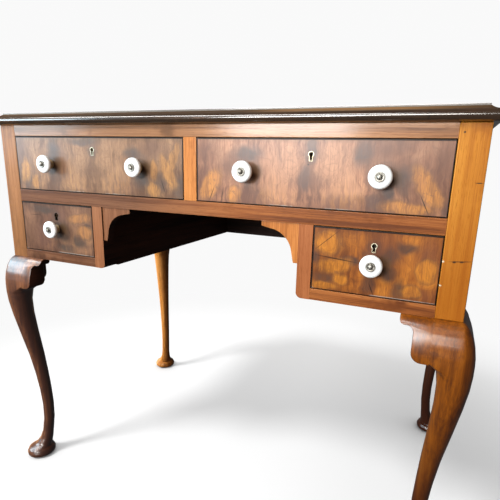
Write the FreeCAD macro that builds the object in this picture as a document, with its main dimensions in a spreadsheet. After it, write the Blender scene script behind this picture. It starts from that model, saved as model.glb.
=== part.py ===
# Walnut kneehole desk with cabriole legs, four drawers and a moulded top.
# Millimetres. X runs along the front, Y from front to back, Z up. The origin is on the floor under the
# middle of the desk's outer box.
import FreeCAD, Part
import Sketcher
import math
import os
import re

SIZES = {
    # carcass
    "carcass_width": 860,
    "carcass_depth": 516,
    "floor_clearance": 478,
    "lower_rail_height": 18,
    "lower_opening_height": 98,
    "middle_rail_height": 23,
    "upper_opening_height": 101,
    "top_rail_height": 20,
    "post_size": 37,
    "kneehole_width": 379,
    "inner_stile_width": 22.5,
    "inner_stile_round": 9,
    "muntin_width": 24,
    "muntin_depth": 22,
    "side_panel_thickness": 16,
    "side_panel_setback": 1.5,
    "back_panel_thickness": 8,
    "kneehole_side_thickness": 12,
    # spandrels in the kneehole's upper corners
    "spandrel_reach": 62,
    "spandrel_land": 8,
    "spandrel_straight": 22,
    "spandrel_flare": 4.5,
    "spandrel_hollow_radius": 40,
    "spandrel_thickness": 14,
    "spandrel_setback": 2.5,
    # runners and kickers
    "runner_bearing": 15,
    "guide_height": 20,
    # top and its moulding
    "top_thickness": 22,
    "nose_overhang": 13,
    "nose_height": 15,
    "arris_setback": 5,
    "fillet_height": 2,
    "cove_radius": 20,
    "moulding_lap": 14,
    # legs
    "knee_bulge": 22.5,
    "knee_width": 54,
    "ankle_width": 22,
    "ankle_setback": 13.2,
    "pad_radius": 30,
    "pad_sole_radius": 21,
    "pad_rim_height": 10,
    "pad_crown_height": 27,
    "pad_crown_radius": 9,
    "pad_edge_swell": 2.5,
    "pad_crown_swell": 3.6,
    "foot_inset": 8,
    # knee brackets
    "bracket_length": 45,
    "bracket_drop": 62,
    "bracket_back": 15,
    "bracket_nose_height": 12.5,
    "bracket_nose_round": 7,
    "bracket_lobe_width": 25,
    "bracket_hollow_radius": 9,
    "bracket_lobe_round": 14,
    # drawers
    "drawer_gap": 1,
    "drawer_back_space": 28,
    "drawer_front_thickness": 20,
    "drawer_side_thickness": 9,
    "drawer_side_drop": 7,
    "drawer_back_thickness": 9,
    "drawer_back_drop": 5,
    "drawer_bottom_thickness": 5,
    "drawer_bottom_lift": 8,
    "groove_depth": 4,
    "dovetail_lap": 6,
    "dovetail_flare": 2,
    # knobs and their bolts
    "upper_knob_spacing": 203,
    "knob_radius": 16.5,
    "knob_length": 21,
    "knob_base_radius": 8.5,
    "knob_neck_radius": 7,
    "knob_neck_length": 7,
    "knob_neck_hollow": 1.6,
    "knob_rim_thickness": 9,
    "knob_bore_radius": 2.5,
    "bolt_radius": 2,
    "bolt_washer_radius": 6.5,
    "bolt_washer_thickness": 1.4,
    "bolt_dome_radius": 3.8,
    "bolt_dome_height": 2.6,
    "bolt_dome_bow": 0.5,
    "bolt_tail": 1.5,
    "nut_width": 9,
    "nut_thickness": 3,
    "nut_clearance": 0.2,
    # keyholes, escutcheons and locks
    "keyhole_drop": 23,
    "keyhole_radius": 3.3,
    "keyhole_slot_width": 3.4,
    "keyhole_slot_drop": 8.6,
    "escutcheon_rim": 1.2,
    "escutcheon_depth": 3,
    "escutcheon_proud": 0.4,
    "escutcheon_clearance": 0.1,
    "lock_width": 52,
    "lock_height": 40,
    "lock_depth": 11,
    "lock_cap_thickness": 2,
    "lock_bolt_width": 15,
    "lock_bolt_thickness": 4,
    "lock_bolt_length": 12,
    "lock_bolt_throw": 7,
    "lock_bolt_clearance": 0.3,
    "rail_mortise_clearance": 0.8,
    "overrun": 2,
}

# How the knee swells below the carcass: shares of the bracket's drop, of the knee's bulge and, for the
# rounding of the outer ridge, of the knee's width.
KNEE_SHARES = (
    (0.0, 0.0, 0.04),
    (0.07, 0.25, 0.10),
    (0.15, 0.43, 0.18),
    (0.30, 0.63, 0.30),
    (0.53, 0.83, 0.36),
    (0.77, 0.95, 0.39),
    (1.0, 1.0, 0.40),
)
# How the leg runs from below the knee to the pad: shares of the height up to the knee brackets' lower end,
# of the way out from the ankle's setback to the knee's bulge, of the growth from the ankle's width to the
# knee's, and of the width for the rounding of the corners.
SHAFT_SHARES = (
    (1.0, 1.0, 1.0, 0.40),
    (0.97, 0.995, 0.84, 0.43),
    (0.916, 0.95, 0.69, 0.45),
    (0.84, 0.826, 0.555, 0.46),
    (0.735, 0.616, 0.40, 0.46),
    (0.60, 0.339, 0.22, 0.46),
    (0.488, 0.168, 0.113, 0.46),
    (0.397, 0.067, 0.056, 0.46),
    (0.305, 0.0, 0.0125, 0.46),
    (0.216, 0.008, 0.0, 0.46),
    (0.139, 0.10, 0.0125, 0.46),
    (0.096, 0.246, 0.14, 0.46),
    (0.058, 0.52, 0.42, 0.46),
)
# Straights that stand for one round stretch of a turned profile, and how far a quarter round stands off its
# chord along each axis, as a share of its radius.
TURNED_STRAIGHTS = 3
QUARTER_BOW_SHARE = 0.207
# Middle and half-width of each dovetail on a drawer side, as shares of the side's height.
DOVETAIL_SHARES = ((0.22, 0.10), (0.52, 0.10), (0.82, 0.10))

# Places that several pieces share.
HALF_WIDTH = "(carcass_width / 2)"
KNOB_REACH = "(knob_length + bolt_washer_thickness + bolt_dome_height)"
FRONT = f"(({KNOB_REACH} - knee_bulge - carcass_depth) / 2)"
BACK = f"({FRONT} + carcass_depth)"
MIDDLE = f"({FRONT} + carcass_depth / 2)"
BEHIND_RAIL = f"({FRONT} + post_size)"
BEFORE_POST = f"({BACK} - post_size)"
BEFORE_BACK = f"({BACK} - back_panel_thickness)"
DRAWER_LENGTH = "(carcass_depth - back_panel_thickness - drawer_back_space)"
LOWER_FLOOR = "(floor_clearance + lower_rail_height)"
MIDDLE_RAIL = f"({LOWER_FLOOR} + lower_opening_height)"
UPPER_FLOOR = f"({MIDDLE_RAIL} + middle_rail_height)"
TOP_RAIL = f"({UPPER_FLOOR} + upper_opening_height)"
TOP = f"({TOP_RAIL} + top_rail_height)"
OPENING = f"({HALF_WIDTH} - post_size)"
KNEEHOLE = "(kneehole_width / 2)"
PEDESTAL = f"({KNEEHOLE} + inner_stile_width)"
PANEL_INSIDE = f"({HALF_WIDTH} - side_panel_setback - side_panel_thickness)"
MUNTIN = "(muntin_width / 2)"
UPPER_CENTRE = f"(({OPENING} + {MUNTIN}) / 2)"
UPPER_HALF = f"(({OPENING} - {MUNTIN}) / 2)"
LOWER_CENTRE = f"(({OPENING} + {PEDESTAL}) / 2)"
LOWER_HALF = f"(({OPENING} - {PEDESTAL}) / 2)"

doc = FreeCAD.newDocument("kneehole_desk")
sheet = doc.addObject("Spreadsheet::Sheet", "sizes")
for row, (alias, value) in enumerate(SIZES.items(), start=1):
    sheet.set(f"A{row}", str(value))
    sheet.setAlias(f"A{row}", alias)
doc.recompute()

nodes = {}


# Sheet references and document helpers

def sized(formula):
    """A formula in the words of the size list, with each word made a reference to the sheet."""
    return re.sub(r"[a-z]\w*\b(?!\()", lambda word: "sizes." + word.group(), formula)


def measure(formula):
    """The present value of a formula, in millimetres."""
    return float(sheet.evalExpression(sized(formula)))


def place(thing, x, y, z):
    for axis, formula in zip("xyz", (x, y, z)):
        thing.setExpression(f"Placement.Base.{axis}", sized(formula))


def keep(name, *pieces):
    """Names a node, which holds one piece or a group of like pieces."""
    if len(pieces) > 1:
        group = doc.addObject("Part::Compound", name)
        group.Links = list(pieces)
        pieces = (group,)
    pieces[0].Label = name
    nodes[name] = pieces[0]


def board(name, x, y, z):
    """A squared board, from the places of its two faces along each axis."""
    box = doc.addObject("Part::Box", name)
    for side, (low, high) in zip(("Length", "Width", "Height"), (x, y, z)):
        box.setExpression(side, sized(f"{high} - ({low})"))
    place(box, x[0], y[0], z[0])
    return box


def opposite(span):
    """The same span on the other side of the middle."""
    low, high = span
    return f"-({high})", f"-({low})"


def mirrored(name, source, normal, x="0", y="0"):
    """A copy of a piece on the other side of an upright plane through a place."""
    copy = doc.addObject("Part::Mirroring", name)
    copy.Source = source
    copy.Normal = FreeCAD.Vector(*normal)
    copy.setExpression("Base.x", sized(x))
    copy.setExpression("Base.y", sized(y))
    return copy


def body(name, x="0", y="0", z="0"):
    piece = doc.addObject("PartDesign::Body", name)
    place(piece, x, y, z)
    return piece


def sketch_on(piece, plane, origin):
    sketch = piece.newObject("Sketcher::SketchObject", f"{piece.Name}_sketch")
    support = [datum for datum in piece.Origin.OriginFeatures if datum.Role == plane]
    sketch.AttachmentSupport = [(support[0], "")]
    sketch.MapMode = "FlatFace"
    for axis, formula in zip("xyz", origin):
        sketch.setExpression(f"AttachmentOffset.Base.{axis}", sized(formula))
    return sketch


def bind(sketch, constraints, formulas):
    """Adds constraints to a sketch and ties those that have a formula to the sheet."""
    first = sketch.ConstraintCount
    sketch.addConstraint(constraints)
    for index, formula in formulas.items():
        sketch.setExpression(f"Constraints[{first + index}]", sized(formula))


def circle_arc(start, end, radius):
    """The short arc between two points: it turns left for a radius above zero, and right below."""
    chord = end - start
    height = math.sqrt(max(radius**2 - (chord.Length / 2) ** 2, 0))
    side = math.copysign(height, radius)
    normal = FreeCAD.Vector(-chord.y, chord.x, 0).normalize()
    centre = (start + end) / 2 + normal * side
    ends = (start, end) if radius > 0 else (end, start)
    angles = [math.atan2(point.y - centre.y, point.x - centre.x) for point in ends]
    circle = Part.Circle(centre, FreeCAD.Vector(0, 0, 1), abs(radius))
    return Part.ArcOfCircle(circle, *angles)


def outline(piece, plane, corners, origin=("0", "0", "0")):
    """A closed sketch through corners, listed anticlockwise.

    A corner is a pair of formulas. A third formula is the radius of the arc that leads to it from the corner
    before, round for a plain formula and hollow for one that starts with a minus sign.
    """
    sketch = sketch_on(piece, plane, origin)
    points = [FreeCAD.Vector(measure(corner[0]), measure(corner[1]), 0) for corner in corners]
    shapes, ends, constraints, formulas = [], [], [], {}
    for index, corner in enumerate(corners):
        start, end = points[index - 1], points[index]
        if len(corner) == 2:
            shapes.append(Part.LineSegment(start, end))
            ends.append((1, 2))
            continue
        radius = measure(corner[2])
        shapes.append(circle_arc(start, end, radius))
        ends.append((1, 2) if radius > 0 else (2, 1))
        formulas[len(constraints)] = f"abs({corner[2]})"
        constraints.append(Sketcher.Constraint("Radius", index, abs(radius)))
    for index, corner in enumerate(corners):
        following = (index + 1) % len(corners)
        constraints.append(
            Sketcher.Constraint("Coincident", index, ends[index][1], following, ends[following][0]))
        for kind, formula, value in zip(("DistanceX", "DistanceY"), corner, points[index]):
            formulas[len(constraints)] = formula
            constraints.append(Sketcher.Constraint(kind, -1, 1, index, ends[index][1], value))
    sketch.addGeometry(shapes)
    bind(sketch, constraints, formulas)
    return sketch


def bowed(start, end, bow):
    """Corners along a line between two places that stands off its chord, by a bow in the middle."""
    for step in range(1, TURNED_STRAIGHTS + 1):
        way_share = step / TURNED_STRAIGHTS
        bow_share = 4 * way_share * (1 - way_share)
        yield tuple(f"({first}) + ({last} - ({first})) * {way_share} + ({off}) * {bow_share}"
                    for first, last, off in zip(start, end, bow))


def rectangle(piece, plane, across, up, origin=("0", "0", "0")):
    (left, right), (low, high) = across, up
    corners = ((left, low), (right, low), (right, high), (left, high))
    return outline(piece, plane, corners, origin)


def circle(piece, plane, centre, radius, origin=("0", "0", "0")):
    sketch = sketch_on(piece, plane, origin)
    middle = FreeCAD.Vector(measure(centre[0]), measure(centre[1]), 0)
    size = measure(radius)
    sketch.addGeometry(Part.Circle(middle, FreeCAD.Vector(0, 0, 1), size))
    constraints = [
        Sketcher.Constraint("DistanceX", -1, 1, 0, 3, middle.x),
        Sketcher.Constraint("DistanceY", -1, 1, 0, 3, middle.y),
        Sketcher.Constraint("Radius", 0, size),
    ]
    bind(sketch, constraints, {0: centre[0], 1: centre[1], 2: radius})
    return sketch


def feature(kind, piece, sketch, length, reverse):
    made = piece.newObject(f"PartDesign::{kind}", f"{piece.Name}_{kind.lower()}")
    made.Profile = sketch
    made.Reversed = reverse
    made.setExpression("Length", sized(length))
    return made


def pad(piece, sketch, length, reverse=False):
    return feature("Pad", piece, sketch, length, reverse)


def pocket(piece, sketch, depth, reverse=False):
    return feature("Pocket", piece, sketch, depth, reverse)


def revolve(piece, sketch):
    """Turns a profile about its sketch's upright axis."""
    turned = piece.newObject("PartDesign::Revolution", f"{piece.Name}_turned")
    turned.Profile = sketch
    turned.ReferenceAxis = (sketch, ["V_Axis"])
    return turned


def loft(piece, sections):
    lofted = piece.newObject("PartDesign::AdditiveLoft", f"{piece.Name}_loft")
    lofted.Profile = sections[0]
    lofted.Sections = sections[1:]
    lofted.Ruled = True
    return lofted


# Legs and knee brackets

def knee_places():
    """Height, bulge and ridge rounding down the knee, from the carcass to the brackets' lower end."""
    for drop_share, bulge_share, ridge_share in KNEE_SHARES:
        height = f"floor_clearance - bracket_drop * {drop_share}"
        yield height, f"(knee_bulge * {bulge_share})", f"(knee_width * {ridge_share})"


def knee_section(piece, height, bulge, ridge):
    """A square with its inner sides in line with the post and its outer corner rounded to a ridge."""
    corners = (
        ("-post_size", f"-{bulge}"),
        (f"{bulge} - {ridge}", f"-{bulge}"),
        (bulge, f"{ridge} - {bulge}", ridge),
        (bulge, "post_size"),
        ("-post_size", "post_size"),
    )
    return outline(piece, "XY_Plane", corners, ("0", "0", height))


def shaft_section(piece, height_share, reach_share, girth_share, round_share):
    """A square with rounded corners, nearly a circle lower down."""
    height = f"(floor_clearance - bracket_drop) * {height_share}"
    width = f"(ankle_width + (knee_width - ankle_width) * {girth_share})"
    outer = f"((knee_bulge + ankle_setback) * {reach_share} - ankle_setback)"
    inner = f"({outer} - {width})"
    turn = f"({width} * {round_share})"
    corners = (
        (f"{inner} + {turn}", f"-{outer}", turn),
        (f"{outer} - {turn}", f"-{outer}"),
        (outer, f"{turn} - {outer}", turn),
        (outer, f"-{inner} - {turn}"),
        (f"{outer} - {turn}", f"-{inner}", turn),
        (f"{inner} + {turn}", f"-{inner}"),
        (inner, f"-{inner} - {turn}", turn),
        (inner, f"{turn} - {outer}"),
    )
    return outline(piece, "XY_Plane", corners, ("0", "0", height))


def leg(name):
    """The front right leg: corner post, knee, cabriole shaft and turned pad in one piece."""
    piece = body(name, HALF_WIDTH, FRONT)
    top_of_knee = ("0", "0", "floor_clearance")
    post = rectangle(piece, "XY_Plane", ("-post_size", "0"), ("0", "post_size"), top_of_knee)
    pad(piece, post, f"{TOP} - floor_clearance")
    loft(piece, [knee_section(piece, *section) for section in knee_places()])
    loft(piece, [shaft_section(piece, *shares) for shares in SHAFT_SHARES])
    sole = ("pad_sole_radius", "0")
    rim = ("pad_radius", "pad_rim_height")
    crown = ("pad_crown_radius", "pad_crown_height")
    foot = (
        ("0", "0"),
        sole,
        *bowed(sole, rim, ("pad_edge_swell", "0")),
        *bowed(rim, crown, ("0", "pad_crown_swell")),
        ("0", "pad_crown_height"),
    )
    revolve(piece, outline(piece, "XZ_Plane", foot, ("-foot_inset", "0", "-foot_inset")))
    return piece


def bracket_section(piece, height, bulge):
    near, far = "-post_size", "-post_size - bracket_length"
    return rectangle(piece, "XY_Plane", (far, near), (f"-{bulge}", "bracket_back"), ("0", "0", height))


def from_leg(distance):
    return f"-post_size - ({distance})"


def front_bracket(name):
    """The front right leg's front bracket: it carries on the knee's swell and is sawn to a scroll."""
    piece = body(name, HALF_WIDTH, FRONT)
    loft(piece, [bracket_section(piece, height, bulge) for height, bulge, ridge in knee_places()])
    nose_end = "bracket_length - bracket_nose_round"
    hollow_end = "bracket_lobe_width + bracket_hollow_radius"
    lobe_end = "bracket_lobe_width - bracket_lobe_round"
    waste = (
        (from_leg("bracket_length + overrun"), "bracket_nose_round - bracket_nose_height"),
        (from_leg("bracket_length + overrun"), "-bracket_drop - overrun"),
        (from_leg(lobe_end), "-bracket_drop - overrun"),
        (from_leg(lobe_end), "-bracket_drop"),
        (from_leg("bracket_lobe_width"), "bracket_lobe_round - bracket_drop", "-bracket_lobe_round"),
        (from_leg("bracket_lobe_width"), "-bracket_nose_height - bracket_hollow_radius"),
        (from_leg(hollow_end), "-bracket_nose_height", "bracket_hollow_radius"),
        (from_leg(nose_end), "-bracket_nose_height"),
        (from_leg("bracket_length"), "bracket_nose_round - bracket_nose_height", "-bracket_nose_round"),
    )
    behind = "bracket_back + overrun"
    cut = outline(piece, "XZ_Plane", waste, ("0", "floor_clearance", f"-({behind})"))
    pocket(piece, cut, f"{behind} + knee_bulge + overrun", reverse=True)
    return piece


def legs_and_brackets():
    """Four legs: those on the left and at the back mirror the front right one, and so do their brackets."""
    across, along = (1, 0, 0), (0, 1, 0)
    legs = {"front_right": leg("front_right_leg")}
    fronts = {"front_right": front_bracket("front_right_front_bracket")}
    sides = {"front_right": mirrored("front_right_side_bracket", fronts["front_right"], (1, 1, 0),
                                     HALF_WIDTH, FRONT)}
    for pieces, kind in ((legs, "leg"), (fronts, "front_bracket"), (sides, "side_bracket")):
        pieces["front_left"] = mirrored(f"front_left_{kind}", pieces["front_right"], across)
    for pieces, kind in ((legs, "leg"), (sides, "side_bracket")):
        for side in ("left", "right"):
            pieces[f"rear_{side}"] = mirrored(f"rear_{side}_{kind}", pieces[f"front_{side}"], along, y=MIDDLE)
    for corner in ("front_left", "front_right", "rear_left", "rear_right"):
        keep(f"{corner}_leg", legs[corner])
    for corner in ("front_left", "front_right"):
        keep(f"{corner}_knee_brackets", fronts[corner], sides[corner])
    for corner in ("rear_left", "rear_right"):
        keep(f"{corner}_knee_bracket", sides[corner])


# Carcass

def mortised_rail(name, low, height, centre):
    """A rail across the front, with a mortise in its underside for the bolt of each lock below it."""
    piece = body(name, "0", FRONT, low)
    pad(piece, rectangle(piece, "XY_Plane", (f"-{OPENING}", OPENING), ("0", "post_size")), height)
    half_width = "(lock_bolt_width / 2 + rail_mortise_clearance)"
    half_thickness = "(lock_bolt_thickness / 2 + rail_mortise_clearance)"
    bolt_line = "(drawer_front_thickness - lock_depth / 2)"
    for middle in (centre, f"-{centre}"):
        mouth = rectangle(
            piece, "XY_Plane",
            (f"{middle} - {half_width}", f"{middle} + {half_width}"),
            (f"{bolt_line} - {half_thickness}", f"{bolt_line} + {half_thickness}"))
        pocket(piece, mouth, "lock_bolt_throw + rail_mortise_clearance", reverse=True)
    return piece


def inner_stile(name):
    """The right pedestal's upright beside the kneehole, rounded at its lower corner."""
    piece = body(name, KNEEHOLE, FRONT, "floor_clearance")
    height = f"({MIDDLE_RAIL} - floor_clearance)"
    face = (
        ("inner_stile_round", "0", "inner_stile_round"),
        ("inner_stile_width", "0"),
        ("inner_stile_width", height),
        ("0", height),
        ("0", "inner_stile_round"),
    )
    pad(piece, outline(piece, "XZ_Plane", face), "post_size", reverse=True)
    return piece


def spandrel(name):
    """The right spandrel: a hollow between two straights, each of which widens towards it."""
    piece = body(name, KNEEHOLE, f"{FRONT} + spandrel_setback", MIDDLE_RAIL)
    bend = "(spandrel_reach - spandrel_straight)"
    throat = "(spandrel_land + spandrel_flare)"
    face = (
        ("0", "0"),
        ("-spandrel_reach", "0"),
        ("-spandrel_reach", "-spandrel_land"),
        (f"-{bend}", f"-{throat}"),
        (f"-{throat}", f"-{bend}", "-spandrel_hollow_radius"),
        ("-spandrel_land", "-spandrel_reach"),
        ("0", "-spandrel_reach"),
    )
    pad(piece, outline(piece, "XZ_Plane", face), "spandrel_thickness", reverse=True)
    return piece


def strip(name, face, low, high):
    """A straight piece from front to back, from its end face."""
    piece = body(name)
    pad(piece, outline(piece, "XZ_Plane", face, ("0", "0", f"-{low}")), f"{high} - {low}", reverse=True)
    return piece


def outer_runner(name, low, floor):
    """A runner on the right side panel, with the guide that fills the space beside the drawer."""
    inside = f"{OPENING} - runner_bearing"
    guide_top = f"{floor} + guide_height"
    face = ((inside, low), (PANEL_INSIDE, low), (PANEL_INSIDE, guide_top), (OPENING, guide_top),
            (OPENING, floor), (inside, floor))
    return strip(name, face, BEHIND_RAIL, BEFORE_POST)


def inner_runner(name):
    """The lower right drawer's runner on the kneehole side, with its guide."""
    wall = f"{KNEEHOLE} + kneehole_side_thickness"
    inside = f"{PEDESTAL} + runner_bearing"
    guide_top = f"{LOWER_FLOOR} + guide_height"
    face = ((wall, "floor_clearance"), (inside, "floor_clearance"), (inside, LOWER_FLOOR),
            (PEDESTAL, LOWER_FLOOR), (PEDESTAL, guide_top), (wall, guide_top))
    return strip(name, face, BEHIND_RAIL, BEFORE_BACK)


def centre_runner(name):
    """The runner behind the muntin, which carries both upper drawers and guides them apart."""
    foot = f"({MUNTIN} + runner_bearing)"
    guide_top = f"{UPPER_FLOOR} + guide_height"
    face = ((f"-{foot}", MIDDLE_RAIL), (foot, MIDDLE_RAIL), (foot, UPPER_FLOOR), (MUNTIN, UPPER_FLOOR),
            (MUNTIN, guide_top), (f"-{MUNTIN}", guide_top), (f"-{MUNTIN}", UPPER_FLOOR),
            (f"-{foot}", UPPER_FLOOR))
    return strip(name, face, BEHIND_RAIL, BEFORE_BACK)


def with_left(right, name):
    """A piece of the right side and its mirror image on the left."""
    return right, mirrored(name, right, (1, 0, 0))


def carcass_frame():
    keep("top_rail", mortised_rail("top_rail", TOP_RAIL, "top_rail_height", UPPER_CENTRE))
    keep("middle_rail", mortised_rail("middle_rail", MIDDLE_RAIL, "middle_rail_height", LOWER_CENTRE))
    keep("centre_muntin", board("centre_muntin", (f"-{MUNTIN}", MUNTIN), (FRONT, f"{FRONT} + muntin_depth"),
                                (UPPER_FLOOR, TOP_RAIL)))
    rail = ((PEDESTAL, OPENING), (FRONT, BEHIND_RAIL), ("floor_clearance", LOWER_FLOOR))
    keep("lower_rails", board("right_lower_rail", *rail),
         board("left_lower_rail", opposite(rail[0]), *rail[1:]))
    keep("inner_stiles", *with_left(inner_stile("right_inner_stile"), "left_inner_stile"))
    keep("spandrels", *with_left(spandrel("right_spandrel"), "left_spandrel"))


def carcass_panels():
    panel = ((PANEL_INSIDE, f"{HALF_WIDTH} - side_panel_setback"), (BEHIND_RAIL, BEFORE_POST),
             ("floor_clearance", TOP))
    keep("right_side_panel", board("right_side_panel", *panel))
    keep("left_side_panel", board("left_side_panel", opposite(panel[0]), *panel[1:]))
    keep("back_panel", board("back_panel", (f"-{OPENING}", OPENING), (BEFORE_BACK, BACK),
                             ("floor_clearance", TOP)))
    wall = ((KNEEHOLE, f"{KNEEHOLE} + kneehole_side_thickness"), (BEHIND_RAIL, BEFORE_BACK),
            ("floor_clearance", UPPER_FLOOR))
    keep("kneehole_sides", board("right_kneehole_side", *wall),
         board("left_kneehole_side", opposite(wall[0]), *wall[1:]))


def runners_and_kickers():
    keep("drawer_runners",
         centre_runner("centre_runner"),
         *with_left(outer_runner("upper_right_runner", MIDDLE_RAIL, UPPER_FLOOR), "upper_left_runner"),
         *with_left(outer_runner("lower_right_outer_runner", "floor_clearance", LOWER_FLOOR),
                    "lower_left_outer_runner"),
         *with_left(inner_runner("lower_right_inner_runner"), "lower_left_inner_runner"))
    side = ((f"{OPENING} - runner_bearing", PANEL_INSIDE), (BEHIND_RAIL, BEFORE_POST), (TOP_RAIL, TOP))
    foot = f"({MUNTIN} + runner_bearing)"
    keep("drawer_kickers",
         board("centre_kicker", (f"-{foot}", foot), (BEHIND_RAIL, BEFORE_BACK), (TOP_RAIL, TOP)),
         board("right_kicker", *side),
         board("left_kicker", opposite(side[0]), *side[1:]))


# Top

def moulding(name, length, mitred_end):
    """A strip of the top's edge, mitred at its start; it runs along its own Y with its nose towards +X."""
    piece = body(name, z=TOP)
    nose_radius = "(nose_height / 2)"
    profile = (
        ("-moulding_lap", "0"),
        (f"nose_overhang - {nose_radius}", "0"),
        ("nose_overhang", nose_radius, nose_radius),
        (f"nose_overhang - {nose_radius}", "nose_height", nose_radius),
        ("-arris_setback", "top_thickness - fillet_height", "-cove_radius"),
        ("-arris_setback", "top_thickness"),
        ("-moulding_lap", "top_thickness"),
    )
    end = f"({length} + nose_overhang)" if mitred_end else length
    pad(piece, outline(piece, "XZ_Plane", profile, ("0", "0", "nose_overhang")), f"{end} + nose_overhang",
        reverse=True)
    inside, outside = "(moulding_lap + overrun)", "(nose_overhang + overrun)"
    start_mitre = ((f"-{inside}", inside), (f"-{inside}", f"-{outside}"), (outside, f"-{outside}"))
    end_mitre = ((f"-{inside}", f"{length} - {inside}"), (outside, f"{length} + {outside}"),
                 (f"-{inside}", f"{length} + {outside}"))
    for mitre in (start_mitre, end_mitre)[: 1 + mitred_end]:
        pocket(piece, outline(piece, "XY_Plane", mitre), "top_thickness + overrun", reverse=True)
    return piece


def top():
    """The top board with its moulding, which goes round the front and both ends."""
    front = moulding("top_front_moulding", "carcass_width", mitred_end=True)
    front.Placement.Rotation = FreeCAD.Rotation(FreeCAD.Vector(0, 0, 1), -90)
    place(front, f"-{HALF_WIDTH}", FRONT, TOP)
    right = moulding("top_right_moulding", "carcass_depth", mitred_end=False)
    place(right, HALF_WIDTH, FRONT, TOP)
    keep("top_front_moulding", front)
    keep("top_right_moulding", right)
    keep("top_left_moulding", mirrored("top_left_moulding", right, (1, 0, 0)))
    reach = f"({HALF_WIDTH} - moulding_lap)"
    keep("top_board", board("top_board", (f"-{reach}", reach), (f"{FRONT} + moulding_lap", BACK),
                            (TOP, f"{TOP} + top_thickness")))


# Drawers

def keyhole(margin="0"):
    """A keyhole's outline about the middle of its round head, widened all round by a margin."""
    radius = f"(keyhole_radius + {margin})"
    half_slot = f"(keyhole_slot_width / 2 + {margin})"
    foot = f"-(keyhole_slot_drop + {margin})"
    shoulder = f"-sqrt({radius}^2 - {half_slot}^2)"
    return ((f"-{half_slot}", foot), (half_slot, foot), (half_slot, shoulder), ("0", radius, radius),
            (f"-{half_slot}", shoulder, radius))


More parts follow.
